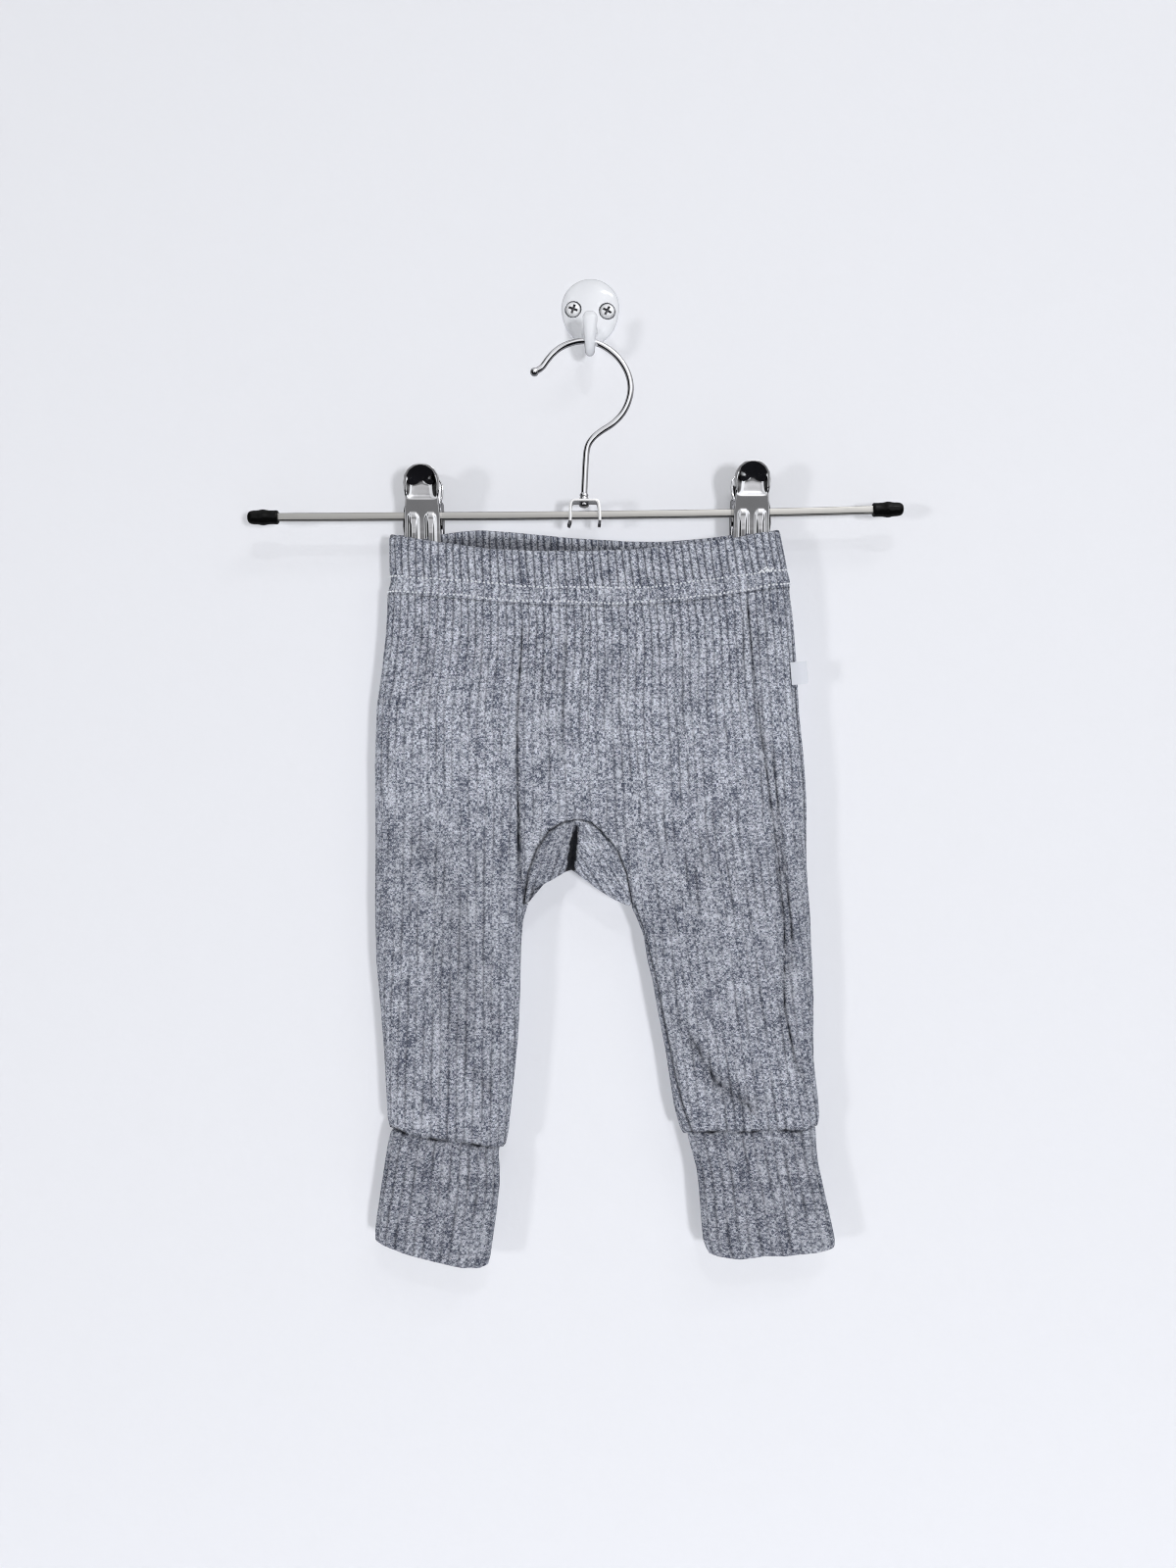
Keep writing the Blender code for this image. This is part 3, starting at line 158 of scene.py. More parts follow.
# creases of each side: (half width, depth, shade, [(x, z), ...]); a high shade is a
# tight, dark one
CREASES = {
    "front": [
        (2.2, 1.7, 0.68, [(-34.2, -155), (-36.2, -184), (-37.7, -215), (-37.2, -298),
                          (-35.2, -305)]),
        (1.4, 0.5, 0.50, [(-36.6, -258), (-36.2, -288), (-34.6, -312)]),
        (2.0, 1.2, 0.45, [(-12.8, -155), (-14.0, -192), (-14.6, -240)]),
        (1.4, 0.4, 0.28, [(-23.5, -154), (-24.5, -178), (-25.0, -206)]),
        (1.4, 0.4, 0.25, [(-2.0, -154), (-3.0, -176), (-3.2, -200)]),
        (9.0, 2.0, 0.10, [(-101, -253), (-88, -280), (-74, -308), (-78, -345), (-72, -372),
                          (-62, -392)]),
        (3.0, 1.9, 0.46, [(50, -374), (58, -389), (66, -403), (81, -413.5), (90, -424)]),
        (2.2, 1.7, 0.66, [(86.5, -196), (88.7, -217), (98, -284), (101.5, -320), (101.5, -365),
                          (108, -394), (117, -419)]),
        (1.6, 0.9, 0.50, [(92.5, -214), (101.5, -284), (105, -322), (105.5, -362)]),
        (1.7, 1.1, 0.50, [(80.0, -140), (82.5, -160), (85, -185), (88, -212), (92, -238)]),
        (6.0, 1.6, 0.12, [(93, -150), (87, -172), (84, -191)]),
        (1.5, 1.2, 0.30, [(84, -153), (80, -170), (78.5, -196)]),
        (2.0, 3.6, 0.85, [(-6.4, -266), (-8.2, -278), (-10.8, -296)]),
        (2.6, 0.8, 0.95, [(-8.4, -279), (-9.6, -287), (-11.4, -300)]),
        (5.5, 0.6, 0.16, [(40, -360), (52, -380), (62, -398), (80, -410), (92, -420)]),
        (4.0, 0.9, 0.14, [(-92, -158), (-84, -178), (-86, -208)]),
        (3.0, 0.7, 0.08, [(-60, -160), (-57, -190), (-60, -236)]),
        (7.0, 0.9, 0.10, [(-27, -176), (-24, -214), (-26, -252)]),
        (6.0, 0.8, 0.05, [(16, -176), (12, -214), (18, -246)]),
        (4.0, 0.7, 0.08, [(44, -160), (48, -196), (44, -232)]),
        (5.0, 0.9, 0.06, [(62, -260), (54, -300), (56, -336)]),
        (7.0, 1.0, 0.12, [(-66, -300), (-64, -345), (-68, -400)]),
        (3.0, 0.9, 0.22, [(-62, -394), (-57, -402), (-50, -407)]),
        (3.5, 0.8, 0.10, [(-50, -320), (-53, -352), (-50, -388), (-56, -420)]),
        (3.5, 0.8, 0.10, [(60, -400), (74, -412), (100, -414)]),
    ],
    "back": [
        (5.0, 2.0, 0.1, [(-70, -156), (-58, -190), (-40, -222), (-18, -246)]),
        (5.0, 2.0, 0.1, [(72, -154), (60, -188), (42, -220), (16, -246)]),
        (5.0, 1.8, 0.1, [(-92, -300), (-80, -335), (-72, -372), (-78, -410)]),
        (5.0, 1.8, 0.1, [(96, -302), (84, -338), (82, -374), (92, -412)]),
        (2.0, 1.3, 0.4, [(-30, -156), (-33, -190), (-32, -238), (-34, -296)]),
        (4.0, 0.7, 0.05, [(28, -160), (32, -200), (30, -238)]),
        (5.0, 0.8, 0.1, [(-60, -330), (-56, -368), (-62, -402)]),
        (5.0, 0.8, 0.1, [(64, -330), (66, -372), (74, -404)]),
    ],
}

# ---------------------------------------------------------------- hanger, in millimetres
BAR_Y = -20.0
BAR_HALF = 1.95
BAR = [(-169.3, -108.6), (-128, -108.4), (-86.7, -108.1), (-44, -107.9), (-2.0, -107.5),
       (42, -107.0), (85.7, -106.3), (120, -105.5), (155.6, -104.5)]
CLIP_X = {"left": -86.6, "right": 83.5}
HOOK = [(-29.1, -33.1), (-25.1, -30.6), (-22.0, -26.5), (-18.6, -22.7), (-13.8, -19.4),
        (-7.7, -17.3), (-2.6, -16.8), (2.4, -17.5), (8.2, -20.1), (14.3, -25.0),
        (19.2, -32.4), (21.2, -40.3), (20.2, -47.6), (17.0, -54.4), (11.7, -59.9),
        (5.6, -63.9), (1.2, -67.7), (-1.5, -72.8), (-2.4, -82.6), (-3.1, -98.5)]
RIVET_X = -3.1
# turned parts of the hook: (along, radius)
BALL = [(-2.2, 0.3), (-2.05, 0.9), (-1.55, 1.65), (-0.8, 2.12), (-0.1, 2.28), (0.6, 2.15),
        (1.2, 1.85), (1.6, 1.6), (2.4, 1.54)]
FOOT = [(-3.6, 0.5), (-3.55, 1.3), (-3.2, 2.1), (-2.6, 2.55), (-1.9, 2.7), (-1.5, 2.65),
        (-1.45, 1.5), (0.25, 1.5), (0.3, 2.2), (0.7, 2.38), (1.5, 2.3), (1.9, 1.95),
        (2.3, 1.95), (2.7, 2.25), (3.3, 2.2), (3.9, 1.8), (4.3, 1.46), (5.0, 1.44)]
STRAP = [(-11.15, -113.2), (-10.55, -111.8), (-10.2, -110.4), (-10.2, -105.5),
         (-10.05, -102.5), (-9.5, -101.1), (-8.2, -100.45), (-3.0, -100.4), (2.8, -100.45),
         (3.9, -100.9), (4.5, -102.2), (4.95, -106.5), (5.1, -109.9), (5.05, -111.4),
         (4.8, -113.0)]
STRAP_WIDE = 8.6
CAP = [(0.0, 0.7), (0.12, 1.6), (0.45, 2.4), (1.0, 2.95), (1.9, 3.35), (3.2, 3.55),
       (4.8, 3.6), (6.0, 3.75), (7.0, 4.0), (8.0, 4.1), (9.0, 4.02), (10.0, 3.8),
       (11.2, 3.62), (13.2, 3.55), (14.6, 3.6), (15.3, 3.62), (15.75, 3.45), (16.0, 3.1)]
# clip leaf: (z above the bar, half width, reach of the outer face, flange end)
LEAF = [(24.9, 1.8, 11.9, 10.9), (24.1, 4.4, 11.8, 10.6), (22.0, 7.0, 11.4, 10.1),
        (19.4, 8.7, 10.8, 9.3), (15.6, 9.3, 10.0, 8.4), (12.0, 9.1, 9.3, 7.7),
        (9.8, 8.7, 8.7, 7.0), (8.8, 8.4, 8.35, 4.4), (5.2, 8.6, 7.61, -3.0),
        (1.4, 9.0, 6.83, -3.2), (-0.3, 9.1, 6.49, -3.2), (-6.0, 9.3, 5.32, -2.8),
        (-8.6, 9.3, 4.79, 2.2), (-15.0, 9.4, 3.7, 2.0), (-25.0, 9.4, 2.8, 1.6)]
LEAF_HALF = 9.4                 # half width at the foot
HEM_STEPS = (0.7, 0.4)
PAD = (16.0, 7.7, 7.9)          # the pressed thumb pad: height of its middle, half sizes
FLUTE = 0.47                    # place of a flute, as a share of the leaf's half width
COIL_HALF = 2.2
COIL_ROUND = 4.0
# wall hook: (share of the plate, step forward) of its dome, the prong's line, and the
# prong's half width and half height at 15 places
DOME = [(1.0, 0.7), (0.985, 0.45), (0.95, 0.5), (0.88, 0.6), (0.78, 0.6), (0.64, 0.55),
        (0.46, 0.45), (0.26, 0.3), (0.1, 0.12)]
SPINE = [(0, -0.8, -11.0), (0, -6.0, -15.4), (0, -12.6, -23.6), (0, -19.5, -28.1),
         (0, -24.8, -26.4), (0, -27.6, -21.0), (0, -28.6, -15.6), (0, -29.0, -11.4)]
SECTIONS = ([4.6, 4.1, 3.5, 3.1, 2.8, 2.6, 2.6, 2.6, 2.7, 2.9, 3.2, 3.5, 3.8, 3.9, 2.8],
            [4.4, 4.0, 3.5, 3.2, 3.0, 2.9, 2.9, 2.8, 2.7, 2.6, 2.5, 2.4, 2.3, 2.0, 1.2])
# screws: (name, x, z, turn of the slot in degrees), and a head as (along, radius)
SCREWS = [("left", -8.9, -0.9, 20), ("right", 9.2, -1.8, 28)]
SCREW_HEAD = [(0.3, 1.7), (1.7, 1.7), (1.75, 3.7), (2.4, 3.9), (3.3, 3.95), (3.75, 3.75),
              (4.1, 3.3), (4.3, 2.5), (4.35, 1.0)]


def table(rows, at, column=1):
    """One column of a table at some places, straight between its rows."""
    keys = np.array([r[0] for r in rows], float)
    values = np.array([r[column] for r in rows], float)
    order = np.argsort(keys)
    return np.interp(at, keys[order], values[order])


def distance(px, pz, path):
    """Distance of each point to a polyline, and how far along it the foot lies (0 to 1)."""
    best = np.full(px.shape, 1e9)
    along = np.zeros(px.shape)
    ends = np.array(path, float)
    steps = np.hypot(*(ends[1:] - ends[:-1]).T)
    total = steps.sum()
    start = 0.0
    for (ax, az), (bx, bz), step in zip(ends[:-1], ends[1:], steps):
        t = np.clip(((px - ax) * (bx - ax) + (pz - az) * (bz - az)) / step ** 2, 0, 1)
        gap = np.hypot(px - ax - t * (bx - ax), pz - az - t * (bz - az))
        near = gap < best
        best = np.where(near, gap, best)
        along = np.where(near, (start + t * step) / total, along)
        start += step
    return best, along


def smooth(t):
    t = np.clip(t, 0, 1)
    return t * t * (3 - 2 * t)


OUTLINE = ([(x, z) for z, x in SIDE_LEFT], [(x, z) for z, x in SIDE_RIGHT],
           [(x, z) for z, x in reversed(INNER_LEFT)] + NOTCH[1:-1]
           + [(x, z) for z, x in INNER_RIGHT])


def hem_height(x, z):
    seam = np.where(x < 0, table(CUFF_SEAM_LEFT, x), table(CUFF_SEAM_RIGHT, x))
    return z - seam


def middle_y(z):
    """Depth of the tube's middle plane."""
    return -22.4 + 2.4 * smooth((BAND_Z - z) / 60)


def reach(side, x, z):
    """Half depth of the cloth tube in front of or behind its middle plane."""
    if side == "front":
        body = 8.8 + 0.8 * smooth((BAND_Z - z) / 60)
    else:
        body = 3.2 + 5.0 * smooth((-145 - z) / 70)
    leg = smooth((-290 - z) / 120)
    body = body * (1 - leg) + 8.2 * leg
    roll = np.clip(hem_height(x, z) / 5.0, 0, 1)
    roll = np.sqrt(1 - (1 - roll) ** 2)
    return 6.2 + (body - 6.2) * np.where(z < -400, roll, 1.0)


def crease(side, x, z):
    """Depth of the creases at a place of one side, and the painted shade in them there."""
    total = np.zeros(np.shape(x))
    dark = np.zeros(np.shape(x))
    for width, depth, shade, path in CREASES[side]:
        if side == "front":
            path = [seen(px, pz, -30.0) for px, pz in path]
        gap, along = distance(x, z, path)
        ends = smooth(along / 0.18) * smooth((1 - along) / 0.18)
        ends = ends * (0.74 + 0.18 * np.sin(z * 0.37 + depth * 9) + 0.12 * np.sin(z * 1.1 + width))
        tight = width if shade < 0.25 else 0.75 if shade < 0.7 else 1.3
        total = total + depth * ends * (0.65 * np.exp(-(gap / width) ** 2)
                                        + 0.35 * np.exp(-(gap / tight) ** 2))
        dark = dark + shade * ends * (np.exp(-(gap / (0.8 * tight)) ** 2)
                                      + 0.3 * np.exp(-(gap / width) ** 2))
    return total, np.minimum(dark, 0.9)


def firm(z):
    """How strongly the ribs stand out, in relief and in painted groove shade: most at the waist
    and least on the seat.
    """
    return np.interp(-z, [150, 172, 212, 255, 300, 340, 420, 430, 495],
                     [0.80, 0.62, 0.38, 0.18, 0.16, 0.28, 0.32, 0.28, 0.30])


def darker_low_down(z):
    """Darker low down than at the waist, and again on the cuffs."""
    return 0.02 + 0.14 * smooth((-225 - z) / 75) + 0.12 * smooth((-420 - z) / 12)


def slack(side, x, z):
    """Slow unevenness of hanging cloth."""
    turn = 0.0 if side == "front" else 2.1
    return (0.28 * np.sin(x * 0.19 + z * 0.05 + turn) * np.sin(z * 0.083 + x * 0.031 + 1.3)
            + 0.16 * np.sin(x * 0.41 - z * 0.11 + 0.7 + turn) * np.sin(z * 0.21 + 2.2))


def cloth_y(side, x, z, inset):
    """Depth of the wall at a place of the silhouette, outside (inset 0) or inside."""
    gap = np.minimum.reduce([distance(x, z, path)[0] for path in OUTLINE])
    radius = 11.0 + 3.0 * smooth((-140 - z) / 50)
    deep = reach(side, x, z)
    gap = np.maximum(gap - inset, 0)
    turn = np.clip(gap / (radius - inset), 0, 1)
    full = np.sqrt(1 - (1 - turn) ** 2)
    swell = 1.6 * smooth((BAND_Z - z) / 60) * smooth((gap - 4) / 30)
    calm = smooth((gap - 2) / 6)
    fall = (deep - inset) * full + swell - (crease(side, x, z)[0] + slack(side, x, z)) * calm
    return middle_y(z) + (-fall if side == "front" else fall)


def profile(side, level, ends, inset, count=261):
    """Dense row from edge to edge: level(x) gives its height, ends(z) its two edges."""
    t = (1 - np.cos(np.linspace(0, math.pi, count))) / 2
    left, right = -60.0, 60.0
    for _ in range(5):
        left = ends[0](level(np.array([left]))[0])
        right = ends[1](level(np.array([right]))[0])
    x = left + inset + (right - left - 2 * inset) * t
    z = level(x)
    y = cloth_y(side, x, z, inset)
    y[[0, -1]] = middle_y(z[[0, -1]])
    return np.stack([x, y, z], axis=1)


def measure(points):
    """Distance along a line to each of its points, seen from above."""
    steps = np.linalg.norm(np.diff(points[:, :2], axis=0), axis=1)
    return np.concatenate([[0], np.cumsum(steps)])


def at(points, s, wanted):
    """Points at the wanted distances along a line."""
    return np.stack([np.interp(wanted, s, points[:, k]) for k in range(3)], axis=1)


def outward(points, s, wanted):
    """Level normals at the wanted distances along a line."""
    tangent = at(points, s, wanted + 0.25) - at(points, s, wanted - 0.25)
    normal = np.stack([tangent[:, 1], -tangent[:, 0], np.zeros(len(tangent))], axis=1)
    return normal / np.maximum(np.linalg.norm(normal, axis=1), 1e-9)[:, None]


EDGE_LEFT, EDGE_RIGHT, LEG_LEFT, LEG_RIGHT = (
    lambda z, edge=edge: table(edge, z)
    for edge in (SIDE_LEFT, SIDE_RIGHT, INNER_LEFT, INNER_RIGHT))

# one rib from groove to groove: (place, height)
RIB_SHAPE = [(0.0, 0.0), (0.055, 0.38), (0.12, 0.76), (0.25, 0.97), (0.5, 1.05),
             (0.75, 0.97), (0.88, 0.76), (0.945, 0.38)]
RIB_PLACES = np.array([p for p, _ in RIB_SHAPE])


def rib_height(ribs, z, rise):
    """Height of the ribbed face over its grooves, a little different on every rib."""
    index = np.floor(ribs + 1e-6)
    shape = np.interp(ribs - index, [p for p, _ in RIB_SHAPE] + [1.0],
                      [h for _, h in RIB_SHAPE] + [0.0])
    own = (0.86 + 0.14 * np.sin(index * 12.9898 + 1.7) + 0.10 * np.sin(z * 0.11 + index * 2.3)
           + 0.06 * np.sin(z * 0.31 + index * 5.1))
    return rise * shape * own


def wander(ribs, z):
    """Sideways drift of the ribs."""
    return (0.22 * np.sin(z * 0.045 + ribs * 0.8) + 0.12 * np.sin(z * 0.13 + ribs * 1.9 + 1.0))


def seam_shade(points, gap):
    """Uneven shade in a seam."""
    own = 0.5 + 0.34 * np.sin(points[:, 0] * 0.31 + 1.0) + 0.16 * np.sin(points[:, 0] * 0.83)
    return own * np.exp(-gap ** 2)


class Row:
    """One level of one panel: the dense line, its seam ends and its rib scale."""

    def __init__(self, side, level, part, inset, grain, rise):
        ends = [EDGE_LEFT, EDGE_RIGHT]
        z_mid = float(level(np.array([-LEG_X if part == "left" else LEG_X]))[0])
        legs = z_mid < CROTCH_Z - 0.2
        if legs and part == "left":
            ends = [EDGE_LEFT, LEG_LEFT]
        if legs and part == "right":
            ends = [LEG_RIGHT, EDGE_RIGHT]
        front = profile("front", level, ends, inset)
        sf = measure(front)
        line = front if side == "front" else profile("back", level, ends, inset)
        base = measure(line)
        own, s = line, base
        start, stop = SEAM, s[-1] - SEAM
        wrap = 0.0
        if part != "left":
            right_x = front[-1, 0] - table(SIDE_SEAM, z_mid)
            wrap = sf[-1] - np.interp(right_x, front[:, 0], sf)
        lead = 0.0
        if legs and part == "right":
            inner = float(level(np.array([front[0, 0]]))[0])
            lead = np.interp(max(table(INSEAM_RIGHT, inner), front[0, 0]), front[:, 0], sf)
        if side == "front":
            start = max(start, lead + SEAM)
            stop = min(stop, sf[-1] - wrap - SEAM)
        else:
            # the back panel reaches round to the front at both of its sides
            if lead > SEAM:
                steps = np.linspace(lead - SEAM, 0, 12)[:-1]
                own = np.concatenate([at(front, sf, steps), own])
                s = np.concatenate([-steps, s])
                start = s[0]
            if wrap > SEAM:
                steps = np.linspace(0, wrap - SEAM, 10)[1:]
                own = np.concatenate([own, at(front, sf, sf[-1] - steps)])
                s = np.concatenate([s, s[-1] + steps])
                stop = s[-1]
        if not legs and part != "whole":
            column = 1 if part == "left" else 2
            arch = [(ARCH_Z, ARCH_TOP[0], ARCH_TOP[0])] + [r[:3] for r in ARCH]
            edge = np.interp(table(arch, z_mid, column), line[:, 0], base)
            if part == "left":
                stop = edge
            else:
                start = edge
        self.points, self.s, self.start, self.stop = own, s, start, stop
        self.side, self.z, self.rise = side, z_mid, rise
        if grain is None:
            self.pitch = base[-1] / RIBS
            self.zero = 0.0
        else:
            # grain: rib number, place of that rib at ARCH_Z, lean, pitch at ARCH_Z
            number, x0, lean, pitch = grain
            fall = ARCH_Z - self.z
            self.pitch = pitch * (1 + 0.05 * smooth(fall / 160))
            self.zero = np.interp(x0 + lean * fall, line[:, 0], base) - number * self.pitch

    def rib(self, s):
        return (s - self.zero) / self.pitch

    def outer(self, extra=()):
        first, last = self.rib(self.start), self.rib(self.stop)
        whole = np.arange(math.floor(first), math.ceil(last) + 1)
        marks = (whole[:, None] + RIB_PLACES).ravel()
        marks = marks[(marks - first > 0.04) & (last - marks > 0.04)]
        for value in extra:
            marks = np.append(marks[np.abs(marks - value) > 0.04], value)
        ribs = np.sort(np.concatenate([[first, last], marks]))
        s = self.zero + ribs * self.pitch
        near = np.minimum(s - self.start, self.stop - s)
        s = s + wander(ribs, self.z) * smooth(near / 8)
        # the seam pulls the edge of the panel in
        lift = (rib_height(ribs, self.z, self.rise) * np.clip(near / 1.6, 0, 1)
                - 0.6 * np.exp(-(near / 0.9) ** 2))
        points = at(self.points, self.s, s)
        x, _, z = points.T
        # painted shade along the panel's seam edges and in its creases, on top of the darkening
        # low down
        self.shade = (darker_low_down(z) + 0.5 * np.exp(-(near / 0.8) ** 2)
                      + crease(self.side, x, z)[1])
        turn = 1.0 if self.side == "front" else -1.0
        return points + outward(self.points, self.s, s) * (turn * lift)[:, None], ribs

    def inner(self, count, extra=()):
        first, last = self.rib(self.start), self.rib(self.stop)
        ribs = first + (last - first) * edged(np.linspace(0, 1, count))
        for value in extra:
            ribs = np.array(sorted([m for m in ribs if abs(m - value) > 0.3] + [value]))
            ribs[0], ribs[-1] = first, last
        return at(self.points, self.s, self.zero + ribs * self.pitch), ribs


def edged(share):
    """Shares of a line drawn in towards its two ends."""
    return 0.35 * share + 0.65 * (1 - np.cos(math.pi * share)) / 2


class Shell:
    """Points, map places and faces of one knitted piece, gathered row by row."""

    def __init__(self):
        self.points, self.places, self.shades, self.firms, self.faces = [], [], [], [], []

    def row(self, points, ribs, down=None, shade=None, hold=None):
        first = len(self.points)
        down = -points[:, 2] if down is None else down
        shade = darker_low_down(points[:, 2]) if shade is None else shade
        hold = firm(points[:, 2]) if hold is None else hold
        for store, values in ((self.shades, shade), (self.firms, hold)):
            store.extend(np.broadcast_to(values, len(points)).tolist())
        self.points.extend(points.tolist())
        self.places.extend(zip(np.asarray(ribs) * PITCH, down))
        return list(range(first, len(self.points)))

    def zip(self, a, ua, b, ub, near=0.02):
        """Triangles and quads between two rows, matched by their parameters."""
        i = j = 0
        while i < len(a) - 1 or j < len(b) - 1:
            if i < len(a) - 1 and j < len(b) - 1 and abs(ua[i + 1] - ub[j + 1]) < near:
                self.faces.append((a[i], a[i + 1], b[j + 1], b[j]))
                i += 1
                j += 1
            elif j == len(b) - 1 or (i < len(a) - 1 and ua[i + 1] <= ub[j + 1]):
                self.faces.append((a[i], a[i + 1], b[j]))
                i += 1
            else:
                self.faces.append((a[i], b[j + 1], b[j]))
                j += 1

    def grid(self, lines, closed=False):
        for a, b in zip(lines[:-1], lines[1:]):
            for k in range(len(a) - (0 if closed else 1)):
                n = (k + 1) % len(a)
                self.faces.append((a[k], a[n], b[n], b[k]))

    def build(self, name, material):
        mesh = bpy.data.meshes.new(name)
        mesh.from_pydata([(x * MM, y * MM, (z - DROP) * MM) for x, y, z in self.points],
                         [], self.faces)
        mesh.update()
        layer = mesh.uv_layers.new(name="knit")
        corners = np.empty(len(mesh.loops), np.int32)
        mesh.loops.foreach_get("vertex_index", corners)
        layer.data.foreach_set("uv", np.array(self.places, np.float32)[corners].ravel())
        for label, values in (("shade", self.shades), ("firm", self.firms)):
            mesh.attributes.new(label, "FLOAT", "POINT").data.foreach_set(
                "value", np.array(values, np.float32))
        work = bmesh.new()
        work.from_mesh(mesh)
        bmesh.ops.recalc_face_normals(work, faces=work.faces[:])
        if work.calc_volume(signed=True) < 0:
            bmesh.ops.reverse_faces(work, faces=work.faces[:])
        work.to_mesh(mesh)
        work.free()
        mesh.shade_smooth()
        mesh.materials.append(material)
        made = bpy.data.objects.new(name, mesh)
        bpy.context.scene.collection.objects.link(made)
        return made


def flat_level(z):
    return lambda x: np.full(np.shape(x), float(z))


def body_level(t):
    return lambda x: (table(BAND_LOW, x) - 2 * SEAM) * (1 - t) + ARCH_Z * t


def leg_level(part, t):
    rows = CUFF_SEAM_LEFT if part == "left" else CUFF_SEAM_RIGHT
    return lambda x: (CROTCH_Z - 0.5) * (1 - t) + (table(rows, x) + 2 * SEAM) * t


def zip_all(shell, lines, near):
    """Faces from row to row; near is how far matched corners may lie apart, in ribs."""
    for a, b in zip(lines[:-1], lines[1:]):
        shell.zip(*a, *b, near)


def panel(side, name, rise, material):
    shell = Shell()
    top = Row(side, body_level(1.0), "whole", 0.0, None, rise)
    apex = top.rib(np.interp(ARCH_TOP[0], top.points[:, 0], top.s))
    grains = {}
    for part, number, lean in [("left", 10.0, GRAIN_LEFT), ("right", 45.0, GRAIN_RIGHT)]:
        x0 = float(at(top.points, top.s, np.array([number * top.pitch]))[0, 0])
        grains[part] = (number, x0, lean, top.pitch)
    body_steps = [0.0, 0.004, 0.01] + list(np.linspace(0.02, 1.0, 54))
    arch_rows = [-265.8, -266.5] + list(np.linspace(-267.6, CROTCH_Z, 22))
    leg_steps = list(np.linspace(0.0, 0.955, 54)) + [0.966, 0.976, 0.984, 0.991, 0.996, 1.0]
    sides = {"outer": {}, "inner": {}}
    for kind, inset, near in [("outer", 0.0, 0.02), ("inner", WALL, 0.2)]:

        def line(level, part, grain, extra=(), count=42):
            middle = {"whole": 0.0, "left": -LEG_X, "right": LEG_X}[part]
            row = Row(side, level, part, inset, grain, rise * (
                0.25 + 0.75 * firm(float(level(np.array([middle]))[0]))))
            if kind == "inner":
                points, ribs = row.inner(count, extra)
                return shell.row(points, ribs, shade=0.1), ribs
            points, ribs = row.outer(extra)
            x, _, z = points.T
            # painted shade along the seams at its top and its foot, and along the crotch seam
            shade = (row.shade + 0.9 * seam_shade(points, hem_height(x, z) / 1.1)
                     + 0.6 * seam_shade(points, distance(x, z, ARCH_PATH)[0] / 0.55)
                     + 0.3 * np.exp(-((table(BAND_LOW, x) - z) / 0.7) ** 2))
            return shell.row(points, ribs, shade=shade), ribs

        lines = [line(body_level(t), "whole", None, (apex,) if t == 1.0 else ())
                 for t in body_steps]
        zip_all(shell, lines, near)
        sides[kind]["whole"] = lines
        last, ribs = lines[-1]
        split = int(np.argmin(np.abs(ribs - apex)))
        for part in ("left", "right"):
            levels = [flat_level(z) for z in arch_rows]
            levels += [leg_level(part, t) for t in leg_steps]
            cut = slice(0, split + 1) if part == "left" else slice(split, None)
            run = [(last[cut], ribs[cut])]
            run += [line(level, part, grains[part], (), 20) for level in levels]
            zip_all(shell, run, near)
            sides[kind][part] = run
    out, inn = sides["outer"], sides["inner"]
    rim(shell, out["whole"][0], inn["whole"][0])
    for part in ("left", "right"):
        rim(shell, out[part][-1], inn[part][-1])
    for part in ("whole", "left", "right"):
        for end in (0, -1):
            for (a, _), (b, _), (c, _), (d, _) in zip(out[part][:-1], out[part][1:],
                                                      inn[part][:-1], inn[part][1:]):
                shell.faces.append((a[end], b[end], d[end], c[end]))
    return shell.build(name, material)


def rim(shell, a, b):
    """Closes the wall along the ends of its outer and inner face."""
    def share(u):
        return (u - u[0]) / (u[-1] - u[0]) * 100
    shell.zip(a[0], share(a[1]), b[0], share(b[1]), 0.05)


def loop(front, back, ribs_a_side, rise, z_hint, rise_back=None):
    """Loop round a tube from its front and back lines, ribbed, left edge first."""
    full = np.concatenate([front, back[::-1][1:]])
    s = measure(full)
    half = measure(front)[-1]
    ribs = (np.arange(ribs_a_side)[:, None] + RIB_PLACES).ravel()
    share = ribs / ribs_a_side
    drift = wander(ribs, z_hint) * smooth(np.minimum(share, 1 - share) * 8)
    marks = np.concatenate([share * half + drift, half + share * (s[-1] - half) + drift])
    ribs = np.concatenate([ribs, ribs + ribs_a_side])
    points = at(full, s, marks)
    wide = np.concatenate([full[-40:-1], full, full[1:40]])
    ws = np.concatenate([s[-40:-1] - s[-1], s, s[1:40] + s[-1]])
    lift = rib_height(ribs, z_hint, 1.0)
    lift = lift * np.where(ribs < ribs_a_side, rise, rise if rise_back is None else rise_back)
    return points + outward(wide, ws, marks) * lift[:, None], ribs


def tube(name, rows, material):
    """Closed ribbed tube: rows are (points, ribs, down), outside first and on round the inside."""
    shell = Shell()
    lines = [shell.row(*row) for row in rows]
    lines.append(lines[0])
    shell.grid(lines, closed=True)
    return shell.build(name, material)


def band_pressed(height):
    """How much the two rows of sewing press the ribs flat, by height over the lower edge."""
    zone = smooth((height + 1.0) / 1.5) * (1 - smooth((height - ROWS[1]) / 1.5))
    row = sum(math.exp(-((height - row) / 0.7) ** 2) for row in ROWS)
    return 1.0 - 0.45 * zone - 0.4 * min(row, 1)


def band_lines(t, low, inset):
    lines = []
    for side, crown in [("front", BAND_TOP_FRONT), ("back", BAND_TOP_BACK)]:
        lines.append(profile(side, lambda x: (table(crown, x) - low) * (1 - t)
                             + table(BAND_LOW, x) * t, [EDGE_LEFT, EDGE_RIGHT], inset))
    return lines


